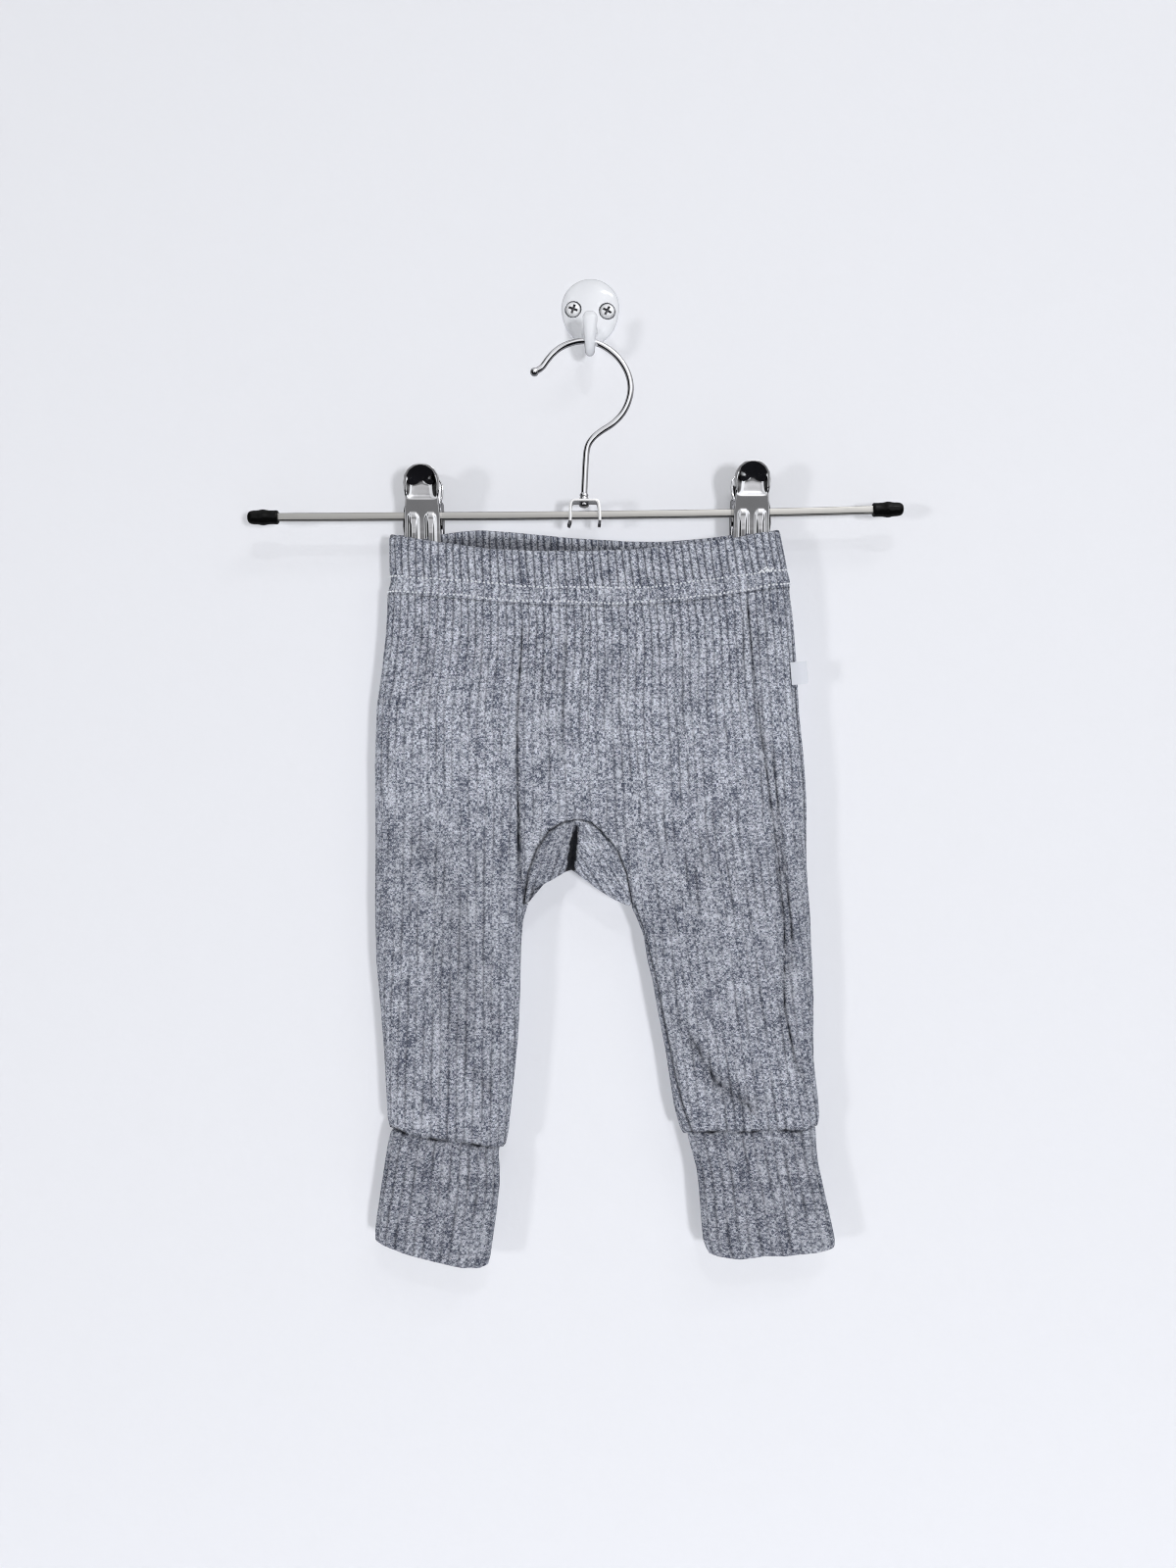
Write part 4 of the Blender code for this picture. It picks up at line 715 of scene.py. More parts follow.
def waistband(rise, material):
    rows = []
    spread = [0.05, 0.11, 0.18, 0.26, 0.34, 0.42, 0.5, 0.56, 0.61, 0.645, 0.675, 0.69, 0.72,
              0.77, 0.82, 0.87, 0.91, 0.935, 0.955, 0.975, 1.0]
    for share, low in FOLD:
        lines = band_lines(0.0, low, share * WALL)
        points, ribs = loop(*lines, RIBS, rise * (1 - 2 * share), -118)
        rows.append((points, ribs, -points[:, 2] - WALL * share, 0.0, 1.0))
    for t in spread:
        lines = band_lines(t, FOLDED, 0.0)
        height = (1 - t) * BAND_HIGH
        dip = 0.22 * sum(math.exp(-((height - row) / 0.8) ** 2) for row in ROWS)
        points, ribs = loop(*lines, RIBS, rise * float(band_pressed(height)), -118 - 30 * t)
        deep = points[:, 1] - middle_y(points[:, 2])
        points[:, 1] -= np.sign(deep) * dip * smooth(np.abs(deep) / 4)
        zone = float(smooth(height / 1.0) * (1 - smooth((height - ROWS[1]) / 1.0)))
        # painted shade along the band's lower seam
        rows.append((points, ribs, -points[:, 2], 0.02 + 0.3 * math.exp(-(height / 0.6) ** 2),
                     1.0 - 0.6 * zone))
    for t in [1.0, 0.8, 0.6, 0.45, 0.32, 0.2, 0.1, 0.04]:
        lines = band_lines(t, FOLDED, WALL)
        points, ribs = loop(*lines, RIBS, 0.0, -118 - 30 * t, -0.35 if t < 0.9 else 0.0)
        # painted shade on the inside of the band, deeper down from its top
        behind = 0.12 + 0.34 * smooth((t - 0.02) / 0.10)
        rows.append((points, ribs, -points[:, 2], behind, 1.0))
    for share, low in [(1.0, FOLDED), (0.92, 0.4), (0.75, 0.12)]:
        lines = band_lines(0.0, low, share * WALL)
        points, ribs = loop(*lines, RIBS, 0.0, -118, -0.35 * share)
        rows.append((points, ribs, -points[:, 2] + WALL * share, 0.0, 1.0))
    return tube("knit_waistband", rows, material)


def cuff_lines(edges, seam, low, t, inset, lift):
    """Front and back line of a cuff at the share t of its height."""
    left, right = table(edges, t, 1), table(edges, t, 2)
    deep = 6.0 + 0.5 * t
    a = np.linspace(0, math.pi, 121)
    centre, half = (left + right) / 2, (right - left) / 2
    x = centre - (half - inset) * np.cos(a)
    gap = half - inset - np.abs(x - centre)
    turn = np.sqrt(1 - (1 - np.clip(gap / (9.0 - inset), 0, 1)) ** 2)
    y = deep * np.sqrt(1 - (1 - np.clip((half - np.abs(x - centre)) / 9.0, 0, 1)) ** 2)
    foot = seen(x, table(low, x), MIDDLE - y)[1]
    z = (table(seam, x) - SEAM) * (1 - t) + (foot + lift) * t
    pinch = 1.0 - 0.12 * (1 - smooth(t / 0.2))
    side = 1.0 if centre > 0 else -1.0
    # the cuff's own seam, just inside its inner edge, and soft waves
    seam_x = (left + 3.2) if side > 0 else (right - 3.2)
    groove = 0.35 * np.exp(-((x - seam_x) / 0.7) ** 2) * smooth(t / 0.06)
    wave = 0.3 * np.sin(x * 0.33 + t * 3.0) * np.sin(t * 7.0 + x * 0.05 + side) * smooth(gap / 8)
    y = (deep * pinch - inset) * turn
    front = np.stack([x, MIDDLE - (y - (groove + wave) * turn), z], axis=1)
    back = np.stack([x, MIDDLE + (y - (0.5 * groove + wave) * turn), z], axis=1)
    return front, back


def cuff(name, edges, seam, low, rise, material):
    rows = []
    for t in [0.0, 0.012, 0.03] + list(np.linspace(0.05, 1.0, 30)):
        lines = cuff_lines(edges, seam, low, t, 0.0, FOLDED)
        # the seam above draws the first rows in
        own = rise * float(smooth(t / 0.05))
        points, ribs = loop(*lines, CUFF_RIBS, own, -430 - 60 * t)
        # painted shade along the hem seam at the cuff's top
        rows.append((points, ribs, -points[:, 2], darker_low_down(points[:, 2])
                     + 0.9 * seam_shade(points, t / 0.021)))
    for share, up in [(0.08, 0.4), (0.25, 0.12), (0.5, 0.0), (0.75, 0.12), (0.92, 0.4)]:
        lines = cuff_lines(edges, seam, low, 1.0, share * WALL, up)
        points, ribs = loop(*lines, CUFF_RIBS, rise * max(0.0, 1 - 2 * share), -490)
        rows.append((points, ribs, -points[:, 2] + WALL * share))
    for t in [1.0, 0.8, 0.6, 0.4, 0.2, 0.0]:
        lines = cuff_lines(edges, seam, low, t, WALL, FOLDED)
        points, ribs = loop(*lines, CUFF_RIBS, 0.0, -430)
        rows.append((points, ribs, -points[:, 2]))
    return tube(name, rows, material)


def gusset_line(side, inset, share, top, edge_by, rise):
    """One line of the gusset at a share of the way from its arch (1) to its notch (0)."""
    ax, az, nx, nz = top
    length = np.maximum(np.hypot(nx - ax, nz - az), 0.5)
    lift = np.minimum(inset, 0.5 * length) / length
    mx, mz = nx + (ax - nx) * lift, nz + (az - nz) * lift
    bx = ax + (mx - ax) / length * 2.2 * SEAM
    bz = az + (mz - az) / length * 2.2 * SEAM
    x = bx + (mx - bx) * share
    z = bz + (mz - bz) * share
    ribs = (x + np.where(x < -8.0 + (z + 268) * 0.13, -0.34, 0.62) * (z + 280)) / PITCH
    middle = middle_y(z)
    if share == 1.0:
        return np.stack([x, middle, z], axis=1), ribs, 0.1
    sign = 1.0 if side == "back" else -1.0
    y = cloth_y(side, x, z, inset)
    y = np.where(np.abs(y - middle) < 0.4, middle + 0.4 * sign, y)
    if inset:
        return np.stack([x, y, z], axis=1), ribs, 0.1
    edge = np.minimum(share * length, edge_by)
    deep = smooth(np.abs(y - middle) / 5)
    y = y + sign * deep * (rib_height(ribs, z, rise) * smooth(edge / 1.6)
                           - 0.45 * np.exp(-(edge / 0.9) ** 2))
    fold = -8.4 + (z + 279) * 0.13
    open_by = (0.7 + 1.5 * smooth((-262 - z) / 18)
               + 0.35 * np.sin(z * 0.9) + 0.2 * np.sin(z * 2.3))
    # painted shade along the gusset's edges, in its creases, over its tucked-under left half and
    # in the black wedge of its deep fold
    shade = (0.05 + crease(side, x, z)[1] + 0.45 * np.exp(-(edge / 0.7) ** 2)
             + 0.22 * smooth((fold - x) / 1.5)
             + 0.9 * smooth(1.35 - np.abs(x - fold) / open_by) * smooth((-270 - z) / 5))
    return np.stack([x, y, z], axis=1), ribs, shade


def gusset(rise, material):
    left = [(r[1], r[0], r[3], r[4]) for r in reversed(ARCH)]
    right = [(r[2], r[0], r[5], r[6]) for r in ARCH]
    rows = np.array(left + [ARCH_TOP] + right, float)
    rows[0, [1, 3]] = CROTCH_Z + 0.4, CROTCH_Z + 0.6
    ends = np.concatenate([[0], np.cumsum(np.hypot(np.diff(rows[:, 0]), np.diff(rows[:, 1])))])
    marks = np.sort(np.concatenate([ends, np.arange(0.45, ends[-1], 0.62)]))
    marks = marks[np.concatenate([[True], np.diff(marks) > 0.12])]
    top = [np.interp(marks, ends, rows[:, k]) for k in range(4)]
    edge_by = np.minimum(marks, ends[-1] - marks)
    shares = list(np.linspace(0, 1, 44) ** 0.85)
    shell = Shell()
    grids = []
    for inset in (0.0, WALL):
        lines = []
        for side, order in [("front", shares), ("back", shares[::-1][1:])]:
            for share in order:
                points, ribs, shade = gusset_line(side, inset, share, top, edge_by, rise)
                lines.append(shell.row(points, ribs, shade=shade, hold=0.2))
        grids.append(lines)
        shell.grid(lines)
    outer, inner = grids
    for end in (0, -1):
        for a, b in ((outer[end], inner[end]), ([line[end] for line in outer],
                                                [line[end] for line in inner])):
            shell.grid([a, b])
    return shell.build("knit_gusset", material)


def thread(shell, centre, along, normal, long, thick):
    """One stitch: a short bowed bit of thread whose ends dive into the knit."""
    along = along / np.linalg.norm(along)
    normal = normal - along * np.dot(along, normal)
    normal = normal / np.linalg.norm(normal)
    across = np.cross(along, normal)
    lines = []
    for t, high, size in [(-0.5, -0.35, 0.45), (-0.38, 0.15, 0.9), (0.0, 0.42, 1.0),
                          (0.38, 0.15, 0.9), (0.5, -0.35, 0.45)]:
        ring = [centre + along * long * t + normal * thick * (high + size * math.sin(a))
                + across * thick * size * math.cos(a)
                for a in np.linspace(0, 2 * math.pi, 6)[:-1]]
        lines.append(shell.row(np.array(ring), np.zeros(5)))
    shell.grid(lines, closed=True)
    shell.faces.append(tuple(lines[0]))
    shell.faces.append(tuple(lines[-1]))


def stitch_row(shell, side, height, pitch, thick, seed):
    """Sewing along the waistband at a height over its lower edge."""
    rng = np.random.default_rng(seed)

    def level(x):
        return (table(BAND_LOW, x) + height + 0.35 * np.sin(x * 0.11 + seed)
                + 0.2 * np.sin(x * 0.37))
    line = profile(side, level, [EDGE_LEFT, EDGE_RIGHT], 0.0)
    s = measure(line)
    marks = np.arange(1.2, s[-1] - 1.2, pitch)
    marks = marks + rng.uniform(-0.25, 0.25, len(marks))
    places = at(line, s, marks)
    normals = outward(line, s, marks) * (1.0 if side == "front" else -1.0)
    ahead = at(line, s, marks + 0.5) - at(line, s, marks - 0.5)
    for place, normal, forward in zip(places, normals, ahead):
        tilt = rng.uniform(-0.16, 0.16)
        forward = forward / np.linalg.norm(forward) + np.array([0, 0, tilt])
        thread(shell, place + normal * rng.uniform(0.36, 0.52), forward, normal,
               pitch * rng.uniform(0.44, 0.6), thick * rng.uniform(0.85, 1.15))


# ---------------------------------------------------------------- hand modelling
def calm_down():
    """Object mode with nothing selected."""
    if bpy.context.object and bpy.context.object.mode != "OBJECT":
        bpy.ops.object.mode_set(mode="OBJECT")
    bpy.ops.object.select_all(action="DESELECT")


def pick(piece):
    """Object mode with this piece alone selected."""
    calm_down()
    piece.select_set(True)
    bpy.context.view_layer.objects.active = piece


def edit(piece):
    pick(piece)
    bpy.ops.object.mode_set(mode="EDIT")


def choose(piece, test=lambda item: True, kind="VERT"):
    """Selects what the test accepts, in edit mode; places are in metres."""
    bpy.ops.mesh.select_mode(type=kind)
    bpy.ops.mesh.select_all(action="DESELECT")
    mesh = bmesh.from_edit_mesh(piece.data)
    for item in {"VERT": mesh.verts, "EDGE": mesh.edges, "FACE": mesh.faces}[kind]:
        if test(item):
            item.select_set(True)
    mesh.select_flush_mode()
    bmesh.update_edit_mesh(piece.data)


def mm(*values):
    return tuple(v * MM for v in values)


def shift(x, y, z):
    """Moves what is selected, in mm."""
    bpy.ops.transform.translate(value=mm(x, y, z))


def extrude(x, y, z):
    """Draws what is selected out, in mm."""
    bpy.ops.mesh.extrude_region_move(TRANSFORM_OT_translate={"value": mm(x, y, z)})


def named(name):
    piece = bpy.context.object
    piece.name = piece.data.name = name
    return piece


def start(name, primitive, **settings):
    """A new primitive under a name, with its place kept in the mesh."""
    calm_down()
    primitive(**settings)
    bpy.ops.object.transform_apply(location=True, rotation=True, scale=True)
    return named(name)


def modify(piece, kind, **settings):
    modifier = piece.modifiers.new(kind.lower(), kind)
    for key, value in settings.items():
        setattr(modifier, key, value)


def put_down(piece, material, angle):
    """Object mode, place in the mesh, finish on, smooth where it turns softly."""
    pick(piece)
    bpy.ops.object.transform_apply(location=True, rotation=True, scale=True)
    for modifier in list(piece.modifiers):
        bpy.ops.object.modifier_apply(modifier=modifier.name)
    piece.data.materials.clear()
    piece.data.materials.append(material)
    bpy.ops.object.shade_smooth_by_angle(angle=math.radians(angle))
    piece.select_set(False)
    return piece


def paint(piece, material, test):
    """A second finish on the faces whose middle, in mm, the test accepts."""
    piece.data.materials.append(material)
    for face in piece.data.polygons:
        if test(*(face.center / MM)):
            face.material_index = 1


def outside_out(piece):
    edit(piece)
    bpy.ops.mesh.select_all(action="SELECT")
    bpy.ops.mesh.remove_doubles(threshold=1e-6)
    bpy.ops.mesh.normals_make_consistent(inside=False)
    bpy.ops.object.mode_set(mode="OBJECT")
    return piece


def drawn_out(name, centre, axis, rows, sides):
    """A disc pulled out along an axis and resized at every step: (along, radius), in mm."""
    axis = Vector(axis).normalized()
    centre = Vector(centre)
    piece = start(name, bpy.ops.mesh.primitive_circle_add, vertices=sides,
                  radius=rows[0][1] * MM, fill_type="NGON",
                  location=(centre + axis * rows[0][0]) * MM,
                  rotation=axis.to_track_quat("Z", "Y").to_euler())
    edit(piece)
    choose(piece, kind="FACE")
    for (a0, r0), (a1, r1) in zip(rows[:-1], rows[1:]):
        extrude(*(axis * (a1 - a0)))
        bpy.ops.transform.resize(value=(r1 / r0,) * 3, center_override=(centre + axis * a1) * MM)
    return outside_out(piece)


def bent_wire(name, points, thick, roundness):
    """A path drawn point by point and given a round section, in mm."""
    calm_down()
    points = [Vector((x, y, z - DROP)) * MM for x, y, z in points]
    bpy.ops.curve.primitive_nurbs_path_add(radius=MM, location=(0, 0, 0))
    wire = named(name)
    bpy.ops.object.mode_set(mode="EDIT")
    spline = wire.data.splines[0]
    count = len(spline.points)
    for point, place in zip(spline.points, points):
        point.co = (*place, 1.0)
    bpy.ops.curve.select_all(action="DESELECT")
    spline.points[-1].select = True
    for a, b in zip(points[count - 1:-1], points[count:]):
        bpy.ops.curve.extrude_move(TRANSFORM_OT_translate={"value": b - a})
    bpy.ops.object.mode_set(mode="OBJECT")
    spline = wire.data.splines[0]
    spline.order_u = 3
    spline.use_endpoint_u = True
    spline.resolution_u = 2
    wire.data.dimensions = "3D"
    wire.data.bevel_depth = thick * MM
    wire.data.bevel_resolution = roundness
    wire.data.use_fill_caps = True
    bpy.ops.object.convert(target="MESH")
    return outside_out(bpy.context.object)


def merge(piece, other, operation="UNION"):
    """Boolean of two pieces; the second one is used up."""
    pick(piece)
    modify(piece, "BOOLEAN", operation=operation, solver="EXACT", object=other)
    bpy.ops.object.modifier_apply(modifier="boolean")
    bpy.data.objects.remove(other)


def cut_with(piece, centre, half, turn=0.0):
    """Takes a block away, with its centre and half size in mm."""
    merge(piece, start("cutter", bpy.ops.mesh.primitive_cube_add, size=2, location=mm(*centre),
                       scale=mm(*half), rotation=(0, turn, 0)), "DIFFERENCE")


def curve_through(points, count):
    """Places along a smooth curve through the points."""
    pts = [Vector(p) for p in points]
    pts = [pts[0] * 2 - pts[1]] + pts + [pts[-1] * 2 - pts[-2]]
    out = []
    spans = len(pts) - 3
    for k in range(count):
        t = k / (count - 1) * spans
        i = min(int(t), spans - 1)
        f = t - i
        a, b, c, d = pts[i:i + 4]
        out.append(0.5 * ((2 * b) + (c - a) * f + (2 * a - 5 * b + 4 * c - d) * f * f
                          + (3 * b - a - 3 * c + d) * f ** 3))
    return out


def bar_height(x):
    return float(table(BAR, x))


# ---------------------------------------------------------------- finishes
class Wire:
    """An output of a node; reckoning with it adds what that takes to its tree."""

    def __init__(self, tree, socket):
        self.tree = tree
        self.socket = socket

    def calc(self, operation, b=0.0, c=0.0, clamp=False):
        return add(self.tree, "ShaderNodeMath", {0: self, 1: b, 2: c}, operation=operation,
                   use_clamp=clamp)

    def __add__(self, other):
        return self.calc("ADD", other)

    def __sub__(self, other):
        return self.calc("SUBTRACT", other)

    def __mul__(self, other):
        return self.calc("MULTIPLY", other)

    def __truediv__(self, other):
        return self.calc("DIVIDE", other)

    def times(self, factor, plus, clamp=False):
        """This value times a factor, and something added."""
        return self.calc("MULTIPLY_ADD", factor, plus, clamp)

    def off_half(self):
        """How far the part behind the point lies from one half."""
        return (self.calc("FRACT") - 0.5).calc("ABSOLUTE")

    def ramp(self, low, high, start=0.0, stop=1.0, kind="LINEAR"):
        """Start at or below low, stop at or above high."""
        return add(self.tree, "ShaderNodeMapRange", {0: self, 1: low, 2: high, 3: start,
                                                     4: stop}, interpolation_type=kind)

    def mix(self, a, b):
        """From one colour to the other by this share."""
        return add(self.tree, "ShaderNodeMix", {0: self, 6: a, 7: b}, 2, data_type="RGBA")

    def between(self, a, b):
        """From one value to the other by this share."""
        return add(self.tree, "ShaderNodeMix", {0: self, 2: a, 3: b}, data_type="FLOAT")

    def part(self, k):
        return add(self.tree, "ShaderNodeSeparateXYZ", {0: self}, k)

    def beside(self, other):
        """Two values as a place on a plane."""
        return add(self.tree, "ShaderNodeCombineXYZ", {0: self, 1: other})

    def noise(self, scale, detail=2.0, rough=0.5, size="3D"):
        return add(self.tree, "ShaderNodeTexNoise",
                   {"Vector": self, "Scale": scale, "Detail": detail, "Roughness": rough},
                   noise_dimensions=size)

    def waves(self, scale, way, distortion=0.0):
        return add(self.tree, "ShaderNodeTexWave",
                   {"Vector": self, "Scale": scale, "Distortion": distortion}, 1,
                   bands_direction=way)


def plug(node, values):
    """Links or sets the inputs of a node; colours come without alpha."""
    for key, value in values.items():
        end = node.inputs[key]
        if isinstance(value, Wire):
            value.tree.links.new(value.socket, end)
        else:
            end.default_value = (*value, 1) if end.type == "RGBA" else value
    return node


def add(tree, kind, values=None, out=0, **settings):
    """Puts a node in the tree and gives one of its outputs."""
    node = tree.nodes.new(kind)
    for key, value in settings.items():
        setattr(node, key, value)
    return Wire(tree, plug(node, values or {}).outputs[out])


def object_places(tree):
    return add(tree, "ShaderNodeTexCoord", out="Object")


def new_group(name, inputs):
    """A node group; no default stands for a vector, and four values for a colour."""
    tree = bpy.data.node_groups.new(name, "ShaderNodeTree")
    for label, value in inputs.items():
        kind = {type(None): "Vector", tuple: "Color", float: "Float"}[type(value)]
        socket = tree.interface.new_socket(name=label, in_out="INPUT",
                                           socket_type="NodeSocket" + kind)
        if value is not None:
            socket.default_value = value
    node = tree.nodes.new("NodeGroupInput")
    return tree, {label: Wire(tree, node.outputs[label]) for label in inputs}


def close_group(tree, **results):
    for label in results:
        kind = "NodeSocketColor" if label == "Color" else "NodeSocketFloat"
        tree.interface.new_socket(name=label, in_out="OUTPUT", socket_type=kind)
    plug(tree.nodes.new("NodeGroupOutput"), results)
    return tree


def heather_knit_group():
    """Marled rib knit on a map in millimetres: wales across, courses down."""
    tree, given = new_group("Heather Knit", {
        "Map": None, "Light Yarn": (0.6, 0.62, 0.68, 1), "Dark Yarn": (0.1, 0.11, 0.15, 1),
        "Wale": 0.925, "Course": 0.72, "Rib": PITCH, "Groove": 0.6, "Shade": 0.0, "Firm": 0.5})
    u, v = given["Map"].part(0), given["Map"].part(1)
    wale = u / given["Wale"]
    course = v / given["Course"] + wale.off_half() * 1.3
    own = add(tree, "ShaderNodeTexWhiteNoise",
              {"Vector": wale.calc("FLOOR").beside(course.calc("FLOOR"))},
              noise_dimensions="2D")
    # fibre streaks that run along a course, and slow clouds
    fibre = ((u * 1.35).beside(v * 1.6).noise(1.0, 3.0, 0.85, "2D") - 0.5) * 2.25
    fall = (u * 0.16).beside(v * 0.03).noise(1.0, size="2D")
    cloud = given["Map"].noise(0.12, size="2D")
    tone = (own - 0.5).times(0.8, 0.44) + fibre
    tone = (fall - 0.5).times(0.45, tone)
    tone = (cloud - 0.5).times(0.55, tone, clamp=True)
    color = tone.mix(given["Dark Yarn"], given["Light Yarn"])
    # painted shade in the groove between two ribs
    rib = u / given["Rib"]
    away = (rib + 0.5).off_half()
    groove_shade_mask = away.ramp(0.035, 0.16, 1.0, 0.0, "SMOOTHSTEP")
    # the painted groove shade is strong where a groove gapes and faint where it nearly closes, and
    # each changes on its way down
    gape = (rib.calc("ROUND") * 7.3).beside(v * 0.032).noise(1.0, size="2D").ramp(0.42, 0.68)
    gape = gape.calc("MULTIPLY", fall.ramp(0.36, 0.64, 1.18, 0.72), clamp=True)
    gape = given["Firm"].between(gape * 0.62, 0.82)
    # how dark the painted groove shade is
    depth = (groove_shade_mask * gape).calc("MULTIPLY", given["Groove"], clamp=True)
    color = depth.mix(color, (0.035, 0.04, 0.06))
    # painted soft shade on the flanks of a rib, to which the Shade input adds its darkening
    painted_flank_shade = away.ramp(0.04, 0.36, 1.0, 0.0, "SMOOTHSTEP") * gape
    painted_flank_shade = painted_flank_shade.times(0.32, given["Shade"], clamp=True)
    color = painted_flank_shade.mix(color, (0.006, 0.007, 0.011))
    # every loop of yarn stands up in its middle
    fall_off = ((wale * 2.0).off_half().calc("POWER", 2.0) * 2.6
                + course.off_half().calc("POWER", 2.0) * 2.0)
    height = fibre.times(0.25, fall_off.times(-1.0, 1.0))
    return close_group(tree, Color=color, Height=height)


def metal_wear_group():
    """Fine scratches and faint smears for bright metal."""
    tree, given = new_group("Metal Wear", {
        "Map": None, "Roughness": 0.1, "Smear": 0.05, "Scratch": 0.04,
        "Tint": (0.8, 0.8, 0.8, 1)})
    cloud = given["Map"].noise(140.0, 3.0)
    stretch = add(tree, "ShaderNodeMapping", {"Vector": given["Map"], "Rotation": (0.2, 0.5, 0.9),
                                              "Scale": (300.0, 300.0, 2600.0)})
    rough = (cloud - 0.45).times(given["Smear"], given["Roughness"])
    rough = stretch.noise(1.0).ramp(0.62, 0.75).times(given["Scratch"], rough, clamp=True)
    color = (cloud * 0.22).mix(given["Tint"], (0.45, 0.45, 0.46))
    return close_group(tree, Color=color, Roughness=rough)


GROUPS = {}
FINISHES = {}


def group(tree, make, values):
    """A node of the group that make builds, as its outputs by name."""
    if make not in GROUPS:
        GROUPS[make] = make()
    node = tree.nodes.new("ShaderNodeGroup")
    node.node_tree = GROUPS[make]
    plug(node, values)
    return {end.name: Wire(tree, end) for end in node.outputs}


def start_material(name):
    made = bpy.data.materials.new(name)
    made.use_nodes = True
    return made, made.node_tree


def finish(made, bump=None, **values):
    """Links or sets the shader's inputs; bump is (height, strength, distance)."""
    if bump:
        values["Normal"] = add(made.node_tree, "ShaderNodeBump", dict(
            zip(("Height", "Strength", "Distance"), bump)))
    plug(made.node_tree.nodes["Principled BSDF"],
         {key.replace("_", " "): value for key, value in values.items()})
    return made


def toned(color, factor):
    return tuple(factor * c for c in color)


def knit_finish(name, light, dark, groove):
    made, tree = start_material(name)
    shade, firmness = (add(tree, "ShaderNodeAttribute", out="Fac", attribute_name=label)
                       for label in ("shade", "firm"))
    knit = group(tree, heather_knit_group, {
        "Map": add(tree, "ShaderNodeUVMap", uv_map="knit"), "Light Yarn": light,
        "Dark Yarn": dark, "Groove": groove, "Shade": shade, "Firm": firmness})
    return finish(made, (knit["Height"], 0.8, 0.0004), Base_Color=knit["Color"], Roughness=0.95,
                  Sheen_Weight=0.05, Sheen_Roughness=0.55, Specular_IOR_Level=0.15)


def metal_finish(name, tint, rough, smear, scratch, metallic=1.0):
    made, tree = start_material(name)
    wear = group(tree, metal_wear_group, {
        "Map": object_places(tree), "Roughness": rough, "Smear": smear, "Scratch": scratch,
        "Tint": tint})
    return finish(made, Base_Color=wear["Color"], Roughness=wear["Roughness"],
                  Metallic=metallic)


def thread_finish(name, color):
    made, tree = start_material(name)
    place = object_places(tree)
    return finish(made, (place.waves(900.0, "DIAGONAL", 2.0), 0.4, 0.0001),
                  Base_Color=place.noise(500.0).mix(color, toned(color, 0.72)),
                  Roughness=0.7, Sheen_Weight=0.2)


def tape_finish(name, color):
    """Woven white tape: fine crossing threads."""
    made, tree = start_material(name)
    place = object_places(tree)
    weave = place.waves(800.0, "X") * place.waves(1000.0, "Z")
    shade = (place.noise(260.0) * 0.5).mix(color, (0.66, 0.68, 0.74))
    return finish(made, (weave, 0.35, 0.0001),
                  Base_Color=(weave * 0.10).mix(shade, (0.42, 0.44, 0.50)),
                  Roughness=0.6, Sheen_Weight=0.15)


def enamel_finish(name, color):
    made, tree = start_material(name)
    place = object_places(tree)
    cloud = place.noise(90.0)
    return finish(made, (place.noise(420.0, 1.0), 0.15, 0.0002),
                  Base_Color=(cloud * 0.3).mix(color, toned(color, 0.9)),
                  Roughness=cloud.times(0.12, 0.12), Coat_Weight=1.0, Coat_Roughness=0.03)


def rubber_finish(name, color):
    made, tree = start_material(name)
    cloud = object_places(tree).noise(300.0, 4.0)
    return finish(made, (cloud, 0.25, 0.0002),
                  Base_Color=cloud.mix(color, toned(color, 2.0)),
                  Roughness=cloud.times(0.20, 0.10), Specular_IOR_Level=0.16)


def finish_of(name):
    """The named finish, made once."""
    if name not in FINISHES:
        looks = bpy.context.scene.leggings_looks
        metal = bpy.context.scene.leggings_hanger
        make, *values = {
            "rib_knit": (knit_finish, "rib_knit_heather", looks.light_yarn, looks.dark_yarn,
                         looks.groove_shade),
            "thread": (thread_finish, "sewing_thread", looks.thread_color),
            "tape": (tape_finish, "woven_tape", looks.tape_color),
            "chrome": (metal_finish, "bright_chrome", metal.chrome_color, 0.07, 0.05, 0.06),
            "strap": (metal_finish, "cut_strap_steel", (0.97, 0.97, 0.97), 0.24, 0.05, 0.05),
            "nickel": (metal_finish, "satin_nickel", metal.bar_color, 0.30, 0.08, 0.08),
            "rubber": (rubber_finish, "black_rubber", metal.cap_color),
            "enamel": (enamel_finish, "white_enamel", metal.enamel_color),
            "well": (enamel_finish, "shaded_well", (0.16, 0.165, 0.18)),
            "screw": (metal_finish, "screw_steel_plated", (0.86, 0.87, 0.89), 0.34, 0.1, 0.1,
                      0.4),
            "recess": (metal_finish, "screw_recess", (0.10, 0.10, 0.11), 0.5, 0.1, 0.1),
        }[name]
        FINISHES[name] = make(*values)
    return FINISHES[name]


# ---------------------------------------------------------------- settings
def colour(name, description, default):
    return FloatVectorProperty(name=name, description=description, subtype="COLOR",
                               default=default, min=0, max=1)


def length(name, description, default, least, most):
    return FloatProperty(name=name, description=description, subtype="DISTANCE",
                         default=default, min=least, max=most)


def power(name, description, default):
    return FloatProperty(name=name, description=description, subtype="POWER", unit="POWER",
                         default=default, min=0, max=500)


class LeggingsLooks(bpy.types.PropertyGroup):
    """Colours and relief of the leggings"""
    light_yarn: colour("Light Yarn", "Pale fibres of the marl", (0.80, 0.83, 0.92))
    dark_yarn: colour("Dark Yarn", "Dark fibres of the marl", (0.080, 0.094, 0.138))
    thread_color: colour("Thread", "Sewing thread", (0.88, 0.90, 0.95))
    tape_color: colour("Tab", "Tape of the side tab", (0.63, 0.65, 0.70))
    rib_rise: length("Rib Rise", "Height of a rib over its grooves", 0.00055, 0.0, 0.0006)
    groove_shade: FloatProperty(name="Groove Shade", description="Darkening in the grooves",
                                subtype="FACTOR", default=0.66, min=0, max=1)
    stitch_pitch: length("Stitch Length", "From stitch to stitch", 0.0021, 0.0015, 0.004)
    stitch_thick: length("Thread Thickness", "Half of the thread", 0.00052, 0.0001, 0.0006)


